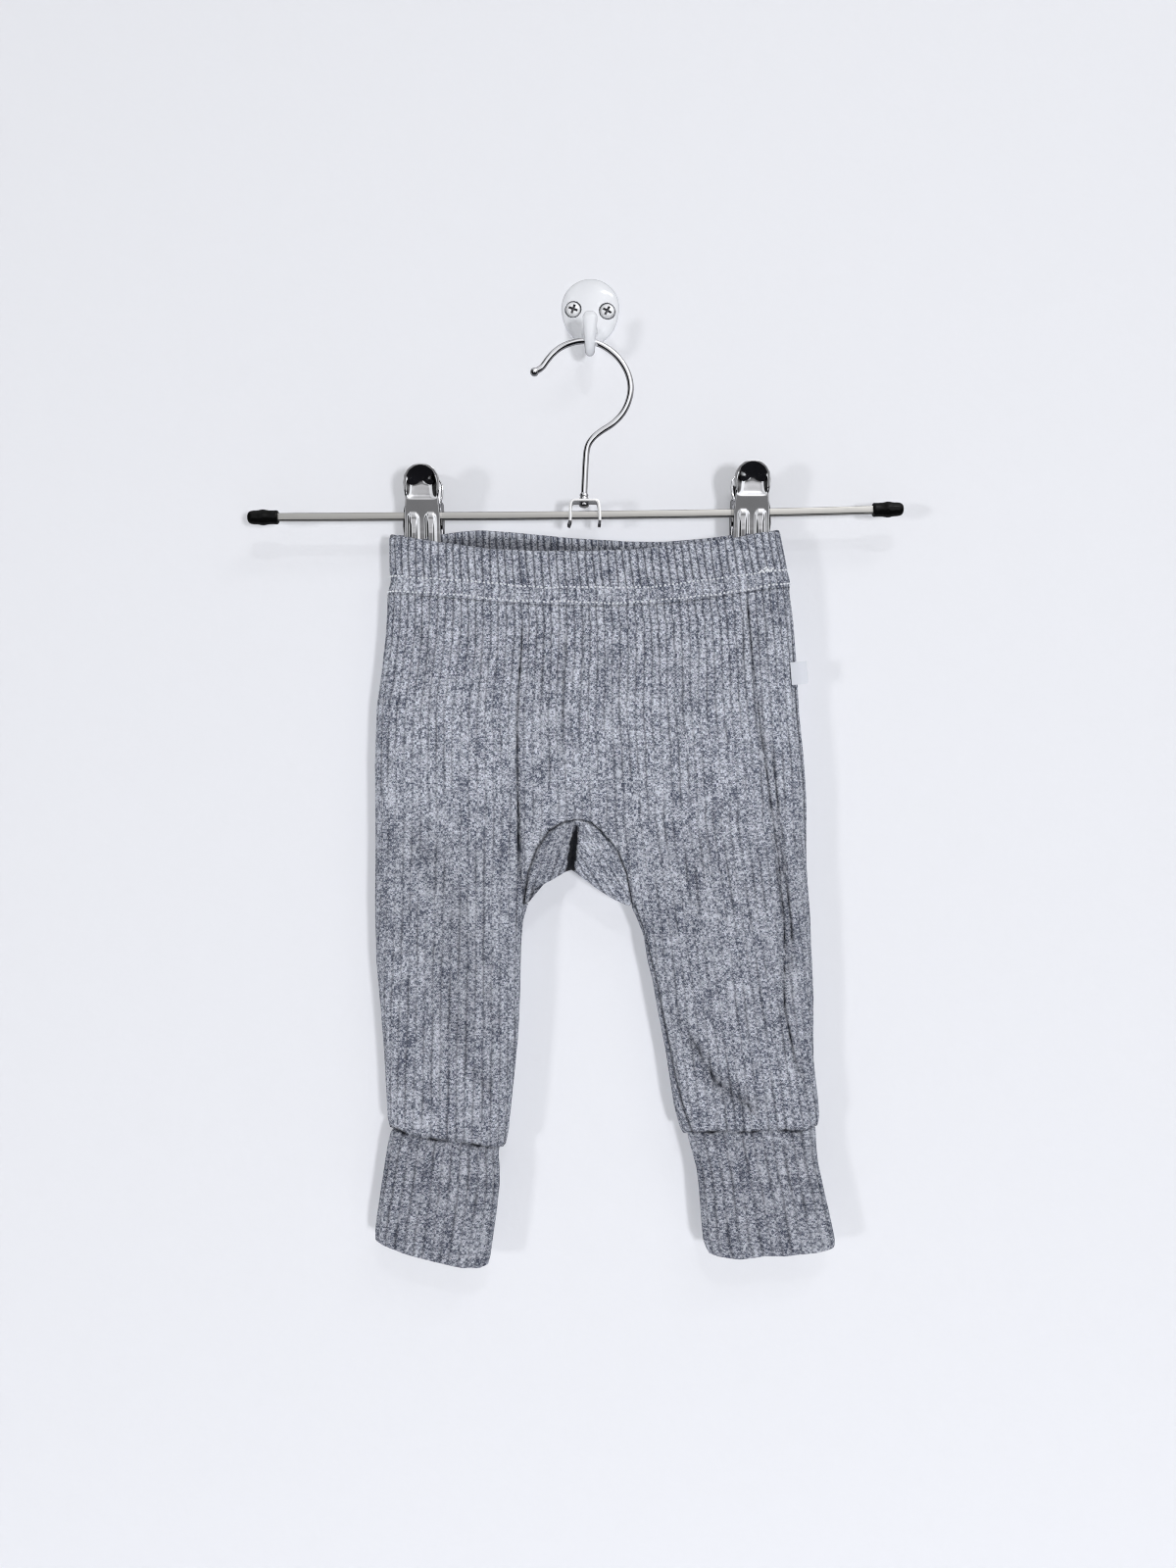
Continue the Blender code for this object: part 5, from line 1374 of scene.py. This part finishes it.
class HangerLooks(bpy.types.PropertyGroup):
    """Sizes and colours of the hanger and the wall hook"""
    wire_radius: length("Wire Radius", "Half of the hook's wire", 0.00162, 0.001, 0.0017)
    chrome_color: colour("Chrome", "Bright plating", (0.88, 0.88, 0.90))
    bar_color: colour("Bar", "Satin plating of the bar", (0.60, 0.587, 0.555))
    cap_color: colour("Caps", "Rubber of the end caps", (0.002, 0.002, 0.002))
    enamel_color: colour("Enamel", "Coat of the wall hook", (0.76, 0.775, 0.81))
    spring_turns: IntProperty(name="Spring Turns", description="Half turns of a clip spring",
                              default=5, min=3, max=5)


class StudioLooks(bpy.types.PropertyGroup):
    """Wall, floor, light and camera"""
    wall_color: colour("Wall", "Painted wall", (0.58, 0.588, 0.622))
    room_light: FloatProperty(name="Room Light", description="Brightness of the pale room",
                              default=0.24, min=0, max=3)
    left_power: power("Left Light", "Light from the left", 17.5)
    right_power: power("Right Light", "Light from near the camera", 34.0)
    top_power: power("Top Light", "Small light from above", 6.0)
    back_power: power("Back Light", "Light on the rear side", 27.0)
    lens: FloatProperty(name="Lens", description="Focal length of the camera, in millimetres",
                        default=30.88, min=10, max=200)


# ---------------------------------------------------------------- operators
def settle(piece, slot, *nodes):
    """The piece rides on the one body and stands for its nodes."""
    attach(piece, "root")
    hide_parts(*nodes)


def rise_mm(context):
    return context.scene.leggings_looks.rib_rise / MM


class LEGGINGS_OT_knit_panels(bpy.types.Operator):
    """Knits the front and back panels with their ribs and creases"""
    bl_idname = "leggings.knit_panels"
    bl_label = "Knit Panels"

    def execute(self, context):
        for side in ("front", "back"):
            piece = panel(side, "knit_" + side + "_panel", rise_mm(context),
                          finish_of("rib_knit"))
            settle(piece, "rib_knit", side + "_panel")
        return {"FINISHED"}


class LEGGINGS_OT_knit_gusset(bpy.types.Operator):
    """Knits the arch-shaped gusset between the legs"""
    bl_idname = "leggings.knit_gusset"
    bl_label = "Knit Gusset"

    def execute(self, context):
        settle(gusset(rise_mm(context) * 0.8, finish_of("rib_knit")), "rib_knit", "gusset")
        return {"FINISHED"}


class LEGGINGS_OT_knit_waistband(bpy.types.Operator):
    """Knits the folded waistband"""
    bl_idname = "leggings.knit_waistband"
    bl_label = "Knit Waistband"

    def execute(self, context):
        settle(waistband(rise_mm(context), finish_of("rib_knit")), "rib_knit", "waistband")
        return {"FINISHED"}


class LEGGINGS_OT_knit_cuffs(bpy.types.Operator):
    """Knits the two folded ankle cuffs"""
    bl_idname = "leggings.knit_cuffs"
    bl_label = "Knit Cuffs"

    def execute(self, context):
        for which, *lines in (("left", CUFF_LEFT, CUFF_SEAM_LEFT, CUFF_LOW_LEFT),
                              ("right", CUFF_RIGHT, CUFF_SEAM_RIGHT, CUFF_LOW_RIGHT)):
            piece = cuff("knit_cuff_" + which, *lines, rise_mm(context), finish_of("rib_knit"))
            settle(piece, "rib_knit", "cuff_" + which)
        return {"FINISHED"}


class LEGGINGS_OT_sew_waistband(bpy.types.Operator):
    """Sews the two rows of stitches round the waistband, and its small tacks"""
    bl_idname = "leggings.sew_waistband"
    bl_label = "Sew Waistband"

    def execute(self, context):
        looks = context.scene.leggings_looks
        pitch, thick = looks.stitch_pitch / MM, looks.stitch_thick / MM
        for place, height, seed in (("lower", ROWS[0], 3), ("upper", ROWS[1], 8)):
            shell = Shell()
            for side in ("front", "back"):
                stitch_row(shell, side, height, pitch, thick, seed + (side == "back"))
            piece = shell.build("stitches_" + place, finish_of("thread"))
            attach(piece, "root")
        shell = Shell()
        for x, high, tilt in TACKS:
            z = float(table(BAND_LOW, x)) + high
            y = float(cloth_y("front", np.array([x]), np.array([z]), 0.0)[0]) - 0.55
            thread(shell, np.array([x, y, z]), np.array([1.0, 0.0, tilt]),
                   np.array([0.0, -1.0, 0.0]), TACK_LONG, thick)
        piece = shell.build("band_tacks", finish_of("thread"))
        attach(piece, "root")
        return {"FINISHED"}


class LEGGINGS_OT_sew_tab(bpy.types.Operator):
    """Folds the bare white tape tab into the side seam"""
    bl_idname = "leggings.sew_tab"
    bl_label = "Sew Side Tab"

    def execute(self, context):
        near_top, far_top, far_low, near_low = np.array(TAB_CORNERS)
        shell = Shell()
        lines = []
        # out along the front of the fold and back along its rear
        rear = [(u, y + TAB_DEPTH) for u, y in TAB_FOLD[-2::-1]]
        for u, y in TAB_FOLD + [(1.0, -24.72), (0.975, -24.38)] + rear:
            top = near_top + (far_top - near_top) * u
            low = near_low + (far_low - near_low) * u
            line = []
            for v in np.linspace(0, 1, 17):
                x, z = top + (low - top) * v
                line.append((x, y - 0.25 * math.sin(math.pi * v) * u, z))
            lines.append(shell.row(np.array(line), np.full(17, u)))
        shell.grid(lines + [lines[0]])
        for end in (0, -1):
            shell.faces.append(tuple(line[end] for line in lines))
        piece = shell.build("side_tab", finish_of("tape"))
        settle(piece, "label_tape", "side_label")
        pick(piece)
        bpy.ops.object.shade_smooth_by_angle(angle=math.radians(50))
        return {"FINISHED"}


class LEGGINGS_OT_declare_cloth(bpy.types.Operator):
    """States the flat size of every cut piece of cloth"""
    bl_idname = "leggings.declare_cloth"
    bl_label = "Declare Cloth"
    # """Stands among the steps but does nothing"""

    def execute(self, context):
        return {"FINISHED"}


class LEGGINGS_OT_bend_hook(bpy.types.Operator):
    """Bends the hanger's wire hook with its ball end and riveted foot"""
    bl_idname = "leggings.bend_hook"
    bl_label = "Bend Hanger Hook"

    def execute(self, context):
        radius = context.scene.leggings_hanger.wire_radius / MM
        path = curve_through([(x, BAR_Y, z) for x, z in HOOK], 96)
        pieces = ((bent_wire("hook_wire", path, radius, 6), 60),
                  (drawn_out("hook_ball", (-28.9, BAR_Y, -33.0 - DROP), (1, 0, 0.6), BALL,
                             28), 50),
                  (drawn_out("hook_foot", (RIVET_X, BAR_Y, -100.0 - DROP), (0, 0, 1), FOOT,
                             28), 40))
        for piece, angle in pieces:
            put_down(piece, finish_of("chrome"), angle)
            settle(piece, "chrome", "hanger_hook")
            piece.visible_shadow = False
        return {"FINISHED"}


class LEGGINGS_OT_form_bracket(bpy.types.Operator):
    """Folds the strap that carries the hook on the bar"""
    bl_idname = "leggings.form_bracket"
    bl_label = "Form Bracket"

    def execute(self, context):
        line = curve_through([(x, BAR_Y, z) for x, z in STRAP], 49)
        x, y, z = line[0]
        strap = start("hook_strap", bpy.ops.mesh.primitive_plane_add, size=STRAP_WIDE * MM,
                      location=mm(x, y, z - DROP))
        edit(strap)
        # one edge of the plane is drawn along the line
        choose(strap, lambda v: v.co.x > x * MM)
        bpy.ops.mesh.delete(type="VERT")
        choose(strap)
        shift(STRAP_WIDE / 2, 0, 0)
        for a, b in zip(line[:-1], line[1:]):
            extrude(*(b - a))
        bpy.ops.object.mode_set(mode="OBJECT")
        modify(strap, "SOLIDIFY", thickness=1.4 * MM, offset=0)
        modify(strap, "BEVEL", width=0.22 * MM, segments=2, limit_method="ANGLE",
               angle_limit=math.radians(50))
        outside_out(put_down(strap, finish_of("strap"), 35))
        cut_with(strap, (-3.0, BAR_Y, bar_height(-3) - DROP), (12, 2.2, 2.2))
        put_down(strap, finish_of("strap"), 35)
        # the strap's lower tips are painted dark with the recess finish
        paint(strap, finish_of("recess"), lambda x, y, z: z + DROP < -110.9)
        settle(strap, "chrome", "hook_bracket")
        return {"FINISHED"}


class LEGGINGS_OT_draw_bar(bpy.types.Operator):
    """Draws the square bar and pushes the rubber caps on its ends"""
    bl_idname = "leggings.draw_bar"
    bl_label = "Draw Bar and Caps"

    def execute(self, context):
        def height(x):
            """The bar's height, carried on straight past its ends."""
            if BAR[0][0] <= x <= BAR[-1][0]:
                return bar_height(x)
            (xa, za), (xb, zb) = BAR[:2] if x < 0 else BAR[:-3:-1]
            return za + (x - xa) * (zb - za) / (xb - xa)

        bar = start("bar_rod", bpy.ops.mesh.primitive_cube_add, size=2,
                    location=mm(-7.5, BAR_Y, 0), scale=mm(164.5, BAR_HALF, BAR_HALF))
        edit(bar)
        stops = [-172.0, -150, -128, -107, -86, -65, -44, -23, -2, 20, 42, 64, 86, 104, 122,
                 140, 157.0]
        for x in stops[1:-1]:
            bpy.ops.mesh.select_all(action="SELECT")
            bpy.ops.mesh.bisect(plane_co=mm(x, 0, 0), plane_no=(1, 0, 0))
        for x in stops:
            choose(bar, lambda v: abs(v.co.x - x * MM) < 0.1 * MM)
            shift(0, 0, height(x) - DROP)
        bpy.ops.object.mode_set(mode="OBJECT")
        modify(bar, "BEVEL", width=0.6 * MM, segments=4, limit_method="ANGLE",
               angle_limit=math.radians(40))
        put_down(bar, finish_of("nickel"), 35)
        settle(bar, "brushed_nickel", "hanger_bar")
        for which, tip, sign in (("left", -178.2, 1), ("right", 163.1, -1)):
            end, hole = tip + sign * CAP[-1][0], tip + sign * 12
            cap = drawn_out("cap_" + which, (tip, BAR_Y, height(tip) - DROP),
                            (end - tip, 0, height(end) - height(tip)), CAP, 40)
            cut_with(cap, (hole, BAR_Y, height(hole) - DROP), (5.8, 2.05, 2.05))
            put_down(cap, finish_of("rubber"), 45)
            settle(cap, "rubber", "bar_cap_" + which)
        return {"FINISHED"}


def press_leaf(name, x, z0, turn, material):
    """One stamped half of a clip, pressed from a flat blank; turn -1 is the front half."""
    fluted = turn < 0
    across, down = (40, 64) if fluted else (20, 40)
    leaf = start(name, bpy.ops.mesh.primitive_grid_add, x_subdivisions=across,
                 y_subdivisions=down, size=2, location=(0, 0, 0), rotation=(math.pi / 2, 0, 0))
    edit(leaf)
    top, foot = LEAF[0][0], LEAF[-1][0]

    def local(v):
        """Millimetres across from the clip's middle, in depth, and over the bar."""
        return v.co.x / MM - x, v.co.y / MM, v.co.z / MM + DROP - z0

    def reaches(z, column):
        ahead = 0.4 * float(smooth((-1.0 - z) / 10)) if fluted else 0.0
        return BAR_Y + turn * (float(table(LEAF, z, column)) + ahead)

    def face_y(z):
        return reaches(z, 2)

    # rows lie a little closer near the top
    for k in range(down + 1):
        share = k / down
        z = top + (foot - top) * (0.75 * share + 0.25 * share * share)
        level = 1 - 2 * share
        half = float(table(LEAF, z, 1)) + (0.0 if fluted or z >= 9.0 else 1.3)
        choose(leaf, lambda v: abs(v.co.y) < 1e-6 and abs(v.co.z - level) < 0.4 / down)
        bpy.ops.transform.resize(value=(half * MM, 1, 1), center_override=(0, 0, level))
        bpy.ops.transform.translate(value=(x * MM, face_y(z) * MM,
                                           (z0 + z - DROP) * MM - level))

    # the sides fold back
    def at_side(e):
        a, b = (v.co for v in e.verts)
        return (len(e.link_faces) == 1 and abs(a.z - b.z) > 0.3 * MM
                and abs((a.x + b.x) / 2 - x * MM) > 1.0 * MM)
    choose(leaf, at_side, "EDGE")
    for step in HEM_STEPS:
        extrude(0, -turn * step, 0)
    hems = {}
    for v in bmesh.from_edit_mesh(leaf.data).verts:
        if v.select:
            hems.setdefault(round(local(v)[2] * 20), set()).add(v.index)
    for key, members in hems.items():
        choose(leaf, lambda v: v.index in members)
        shift(0, reaches(key / 20, 3) - (face_y(key / 20) - turn * sum(HEM_STEPS)), 0)

    # the thumb pad is pressed in, deepest in its middle
    def dish(v):
        u, y, z = local(v)
        u, w = abs(u / PAD[1]), abs(z - PAD[0]) / PAD[2]
        if abs(y - face_y(z)) > 2.2 or u > 1 or w > 1:
            return -1.0
        if z > PAD[0]:
            return 1 - math.hypot(u, w) ** 1.5
        return (1 - 0.6 * w ** 1.5) * (1 - u ** 6)
    bowl = {v.index: dish(v) for v in bmesh.from_edit_mesh(leaf.data).verts}
    for step in range(22):
        choose(leaf, lambda v: bowl[v.index] > step * 0.045)
        shift(0, -turn * 0.088, 0)
    choose(leaf, lambda v: bowl[v.index] > 0.06)
    bpy.ops.mesh.vertices_smooth(factor=0.5, repeat=6)
    if fluted:
        def flute(v):
            u, y, z = local(v)
            part = min(1.0, abs(abs(u / LEAF_HALF) - FLUTE) / (0.29 - 0.09 * inner))
            return part < 1.0 and abs(y - face_y(z)) < 1.2 and (
                z < 0.3 - 0.5 * inner - 2.2 * (1 - math.sqrt(1 - part ** 2)))

        def flute_floor(v):
            u, y, z = local(v)
            return (abs(abs(u / LEAF_HALF) - FLUTE) < 0.17 and z < -1.6 - step
                    and abs(y - face_y(z)) < 1.3)
        for inner, rise in enumerate((0.30, 0.18)):
            choose(leaf, flute)
            shift(0, turn * rise, 0)
        for step in range(8):
            choose(leaf, flute_floor)
            shift(0, turn * 0.06, 0)
    bpy.ops.object.mode_set(mode="OBJECT")
    modify(leaf, "SOLIDIFY", thickness=0.75 * MM, offset=turn)
    modify(leaf, "SUBSURF", levels=1, render_levels=1)
    outside_out(put_down(leaf, material, 60))
    cut_with(leaf, (x, BAR_Y, z0 - DROP), (14, BAR_HALF + 0.15, BAR_HALF + 0.2))
    return put_down(leaf, material, 60)


class LEGGINGS_OT_press_clips(bpy.types.Operator):
    """Presses the two halves of each clip and winds its spring"""
    bl_idname = "leggings.press_clips"
    bl_label = "Press Clips"

    def execute(self, context):
        chrome = finish_of("chrome")
        turns = context.scene.leggings_hanger.spring_turns / 2
        for which, x in CLIP_X.items():
            clip = "clip_" + which
            z0 = bar_height(x)
            for half, turn in (("_front", -1), ("_back", 1)):
                settle(press_leaf(clip + half + "_leaf", x, z0, turn, chrome), "chrome",
                       clip + half)
            left, right = x - COIL_HALF, x + COIL_HALF
            path = [(left, BAR_Y - 6.4, z0 + 8.0), (left, BAR_Y - 5.2, z0 + 4.0)]
            for share in np.linspace(0, 1, 61):
                a = math.pi + 2 * math.pi * turns * share
                path.append((left + (right - left) * share, BAR_Y + COIL_ROUND * math.cos(a),
                             z0 + COIL_ROUND * math.sin(a)))
            path += [(right, BAR_Y + 5.2, z0 + 4.0), (right, BAR_Y + 6.4, z0 + 8.0)]
            spring = put_down(bent_wire(clip + "_coil", path, 0.5, 4), chrome, 60)
            settle(spring, "chrome", clip + "_spring")
        return {"FINISHED"}


class LEGGINGS_OT_cast_wall_hook(bpy.types.Operator):
    """Casts the enamelled wall hook and sets its two screws"""
    bl_idname = "leggings.cast_wall_hook"
    bl_label = "Cast Wall Hook"

    def execute(self, context):
        plate = start("hook_plate", bpy.ops.mesh.primitive_circle_add, vertices=64,
                      radius=1.0 * MM, fill_type="NGON", location=(0, 0, 0),
                      rotation=(math.pi / 2, 0, 0))
        edit(plate)
        choose(plate)
        bpy.ops.transform.resize(value=(15.4, 1, 15.4), center_override=(0, 0, 0))
        choose(plate, lambda v: v.co.z < -0.5 * MM)
        bpy.ops.transform.resize(value=(1, 1, 1.3), center_override=(0, 0, 0))
        choose(plate)
        shift(0.3, 0, 0.9)
        choose(plate, kind="FACE")
        before = 1.0
        for share, step in DOME:
            extrude(0, -step, 0)
            k = share / before
            bpy.ops.transform.resize(value=(k, 1, k), center_override=(0, 0, 0.4 * MM))
            before = share
        outside_out(plate)
        merge(plate, self.prong())
        modify(plate, "REMESH", mode="VOXEL", voxel_size=0.34 * MM)
        modify(plate, "SMOOTH", factor=0.5, iterations=4)
        put_down(plate, finish_of("enamel"), 80)
        cut_with(plate, (0, 6, -10), (30, 6, 30))
        for _, x, z, _ in SCREWS:
            well = drawn_out("well", (x, 0, z), (0, -1, 0), [(-1, 2.1), (1.4, 2.1), (1.5, 4.3),
                                                             (9.0, 4.5)], 40)
            merge(plate, well, "DIFFERENCE")
        put_down(plate, finish_of("enamel"), 50)
        # the walls of the screw wells are painted dark as shade
        paint(plate, finish_of("well"), lambda x, y, z: any(
            math.hypot(x - xs, z - zs) < 4.47 for _, xs, zs, _ in SCREWS))
        settle(plate, "enamel", "wall_hook")
        for which, xs, zs, turn in SCREWS:
            head = drawn_out("screw_" + which, (xs, 0, zs), (0, -1, 0), SCREW_HEAD, 40)
            for angle in (turn, turn + 90):
                cut_with(head, (xs, -4.2, zs), (2.5, 1.2, 0.62), turn=math.radians(angle))
            put_down(head, finish_of("screw"), 35)
            # painted shade in the cross recess of each screw head
            paint(head, finish_of("recess"), lambda x, y, z: (
                math.hypot(x - xs, z - zs) < 2.56 and -4.15 < y < -2))
            settle(head, "screw_steel", "wall_hook_screw_" + which)
        return {"FINISHED"}

    def prong(self):
        """A disc drawn along the spine, turned square to it and resized at every step."""
        spine = curve_through(SPINE, 29)
        prong = start("prong", bpy.ops.mesh.primitive_circle_add, vertices=24, radius=1.0 * MM,
                      fill_type="NGON", location=mm(*spine[0]))
        edit(prong)
        choose(prong, kind="FACE")
        facing = Vector((0, 0, 1))
        side = Vector((1, 0, 0))
        wide = high = 1.0
        for k, spot in enumerate(spine):
            ahead = (spine[min(k + 1, 28)] - spine[max(k - 1, 0)]).normalized()
            new_wide, new_high = (float(np.interp(k / 2, range(15), row)) for row in SECTIONS)
            if k:
                extrude(*(spot - spine[k - 1]))
            turn = facing.rotation_difference(ahead).to_matrix()
            up = ahead.cross(side)
            centre = Vector(mm(*spot))
            for v in bmesh.from_edit_mesh(prong.data).verts:
                if v.select:
                    away = turn @ (v.co - centre)
                    v.co = (centre + side * away.dot(side) * new_wide / wide
                            + up * away.dot(up) * new_high / high)
            bmesh.update_edit_mesh(prong.data)
            facing, wide, high = ahead, new_wide, new_high
        extrude(*(facing * 0.6))
        bpy.ops.transform.resize(value=(0.6,) * 3, center_override=mm(*(spine[-1] + facing * 0.6)))
        return outside_out(prong)


def soft_light(name, place, energy, wide, tall, color=(1.0, 1.0, 1.0), mirrored=False):
    lamp = bpy.data.lights.new(name, "AREA")
    lamp.shape = "RECTANGLE"
    lamp.size, lamp.size_y = wide, tall
    lamp.energy = energy
    lamp.color = color
    made = bpy.data.objects.new(name, lamp)
    made.location = place
    made.visible_glossy = mirrored
    made.rotation_euler = (LIGHTS_AIM - Vector(place)).to_track_quat("-Z", "Y").to_euler()
    bpy.context.scene.collection.objects.link(made)


def stage_plane(name, material, **place):
    plane = start(name, bpy.ops.mesh.primitive_plane_add, size=2, scale=(1.6, 0.9, 1), **place)
    plane.data.materials.append(material)
    return plane


class LEGGINGS_OT_set_stage(bpy.types.Operator):
    """Sets the wall, the floor, the soft light and the camera"""
    bl_idname = "leggings.set_stage"
    bl_label = "Set Stage"

    def execute(self, context):
        scene = context.scene
        looks = scene.leggings_studio
        camera = bpy.data.cameras.new("front_camera")
        camera.lens = looks.lens
        camera.sensor_width = 36
        camera.clip_start = 0.02
        eye = bpy.data.objects.new("front_camera", camera)
        eye.location = (-0.00102, -0.720, -0.25375)
        eye.rotation_euler = (math.pi / 2, 0, 0)
        scene.collection.objects.link(eye)
        scene.camera = eye
        scene.view_settings.view_transform = "Standard"
        scene.cycles.filter_width = 1.05
        scene.cycles.denoising_prefilter = "NONE"

        wall = stage_plane("stage_wall", self.wall_finish(looks), location=(0, 0.0006, 0.15),
                           rotation=(math.pi / 2, 0, 0))
        floor = stage_plane("stage_floor", self.floor_finish(), location=(0, -0.9, -0.75))

        soft_light("left_light", (-1.8, -2.2, -0.46), looks.left_power, 0.28, 0.3,
                   (1.0, 0.99, 0.98))
        soft_light("right_light", (0.78, -2.55, -0.50), looks.right_power, 0.22, 0.3,
                   (0.99, 0.99, 1.0))
        soft_light("top_light", (0.2, -2.0, 1.20), looks.top_power, 0.25, 0.1)
        soft_light("streak_light", (0.9, -1.5, 1.45), STREAK_POWER, 1.0, 0.16, mirrored=True)
        soft_light("back_light", (0.3, 1.3, 0.5), looks.back_power, 1.2, 1.0)
        self.room(scene, looks.room_light)
        return {"FINISHED"}

    def wall_finish(self, looks):
        """Painted wall that is seen through from behind and lets the back light in."""
        made, tree = start_material("wall_paint")
        place = object_places(tree)
        paint_tone = (place.noise(3.0) * 0.12).mix(looks.wall_color,
                                                   toned(looks.wall_color, 0.94))
        # bright metal sees the wall darker
        mirror = add(tree, "ShaderNodeLightPath", out="Is Glossy Ray") * 0.72
        finish(made, (place.noise(260.0), 0.12, 0.001), Roughness=0.55, Specular_IOR_Level=0.3,
               Base_Color=mirror.mix(paint_tone, (0.02, 0.02, 0.02)),
               Emission_Color=mirror.mix(FILL, (0.0, 0.0, 0.0)), Emission_Strength=0.195)
        behind = add(tree, "ShaderNodeNewGeometry", out="Backfacing")
        shadow = add(tree, "ShaderNodeLightPath", out="Is Shadow Ray")
        mixed = add(tree, "ShaderNodeMixShader", {
            0: behind.calc("MAXIMUM", shadow),
            1: Wire(tree, tree.nodes["Principled BSDF"].outputs[0]),
            2: add(tree, "ShaderNodeBsdfTransparent")})
        plug(tree.nodes["Material Output"], {0: mixed})
        return made

    def floor_finish(self):
        """Pale floor that bright metal sees darker."""
        made, tree = start_material("floor_paint")
        shade = (object_places(tree).noise(4.0) * 0.15).mix((0.80, 0.81, 0.83),
                                                            (0.72, 0.73, 0.76))
        mirror = add(tree, "ShaderNodeLightPath", out="Is Glossy Ray")
        return finish(made, Base_Color=mirror.mix(shade, (0.01, 0.01, 0.012)), Roughness=0.7,
                      Specular_IOR_Level=0.0)

    def room(self, scene, light):
        """Pale room: brighter above and darker low in front, as bright metal sees it."""
        world = bpy.data.worlds.new("pale_room")
        scene.world = world
        world.use_nodes = True
        tree = world.node_tree
        tree.nodes.clear()
        way = object_places(tree)
        x, high = way.part(0), way.part(2)
        by_height = add(tree, "ShaderNodeValToRGB", {0: high.ramp(-1.0, 1.0)})
        stops = [(0.0, 0.005), (0.20, 0.005), (0.33, 0.008), (0.37, 0.10), (0.39, 0.20),
                 (0.45, 0.27), (0.48, 0.62), (0.57, 0.60), (0.64, 1.0), (0.76, 0.90),
                 (1.0, 0.5)]
        band = by_height.socket.node.color_ramp
        while len(band.elements) < len(stops):
            band.elements.new(0.5)
        for element, (place, value) in zip(band.elements, stops):
            element.position = place
            element.color = (value, value, value * 1.02, 1)
        # high up it brightens from left to right, and both far sides are darker
        across = high.ramp(0.0, 0.15).between(1.0, x.ramp(-0.30, 0.30, 0.15, 2.4))
        across = across * (x.ramp(-0.52, -0.24, 0.06, 1.0) * x.ramp(0.50, 0.80, 1.0, 0.25))
        room = add(tree, "ShaderNodeMix", {0: 1.0, 6: by_height, 7: across}, 2,
                   data_type="RGBA", blend_type="MULTIPLY")
        # a tall window on each side
        wide = (x + -0.02).calc("ABSOLUTE")
        pane = wide.ramp(0.20, 0.26) * wide.ramp(0.62, 0.54)
        pane = pane * high.ramp(-0.42, -0.34) * x.ramp(-0.2, 0.3, 0.62, 0.95)
        room = pane.mix(room, (1.2, 1.22, 1.25))
        glossy = add(tree, "ShaderNodeLightPath", out="Is Glossy Ray")
        seen_straight = add(tree, "ShaderNodeLightPath", out="Is Camera Ray")
        strength = glossy.times(0.9 - light, seen_straight.times(0.84 - light, light))
        shine = add(tree, "ShaderNodeBackground", {"Color": glossy.mix(FILL, room),
                                                   "Strength": strength})
        plug(tree.nodes.new("ShaderNodeOutputWorld"), {0: shine})


class LEGGINGS_PT_sidebar(bpy.types.Panel):
    """Lists the pieces and their settings"""
    bl_idname = "LEGGINGS_PT_sidebar"
    bl_label = "Ribbed Leggings"
    bl_space_type = "VIEW_3D"
    bl_region_type = "UI"
    bl_category = "Leggings"

    def draw(self, context):
        layout = self.layout
        for title, settings, steps in (
                ("Leggings", context.scene.leggings_looks, CLOTH_STEPS),
                ("Hanger", context.scene.leggings_hanger, HANGER_STEPS),
                ("Studio", context.scene.leggings_studio, STAGE_STEPS)):
            box = layout.box()
            box.label(text=title)
            for key in settings.bl_rna.properties.keys():
                if key not in ("rna_type", "name"):
                    box.prop(settings, key)
            for step in steps:
                box.operator(step.bl_idname)


CLOTH_STEPS = (LEGGINGS_OT_knit_panels, LEGGINGS_OT_knit_gusset, LEGGINGS_OT_knit_waistband,
               LEGGINGS_OT_knit_cuffs, LEGGINGS_OT_sew_waistband, LEGGINGS_OT_sew_tab)
HANGER_STEPS = (LEGGINGS_OT_bend_hook, LEGGINGS_OT_form_bracket, LEGGINGS_OT_draw_bar,
                LEGGINGS_OT_press_clips, LEGGINGS_OT_cast_wall_hook)
STAGE_STEPS = (LEGGINGS_OT_declare_cloth, LEGGINGS_OT_set_stage)
CLASSES = (LeggingsLooks, HangerLooks, StudioLooks, *CLOTH_STEPS, *HANGER_STEPS, *STAGE_STEPS,
           LEGGINGS_PT_sidebar)


def register():
    for one in CLASSES:
        bpy.utils.register_class(one)
    bpy.types.Scene.leggings_looks = PointerProperty(type=LeggingsLooks)
    bpy.types.Scene.leggings_hanger = PointerProperty(type=HangerLooks)
    bpy.types.Scene.leggings_studio = PointerProperty(type=StudioLooks)


def unregister():
    del bpy.types.Scene.leggings_studio
    del bpy.types.Scene.leggings_hanger
    del bpy.types.Scene.leggings_looks
    for one in reversed(CLASSES):
        bpy.utils.unregister_class(one)


def main():
    register()
    for step in (*CLOTH_STEPS, *HANGER_STEPS, *STAGE_STEPS):
        getattr(bpy.ops.leggings, step.bl_idname.split(".")[1])()


if __name__ == "__main__":
    main()
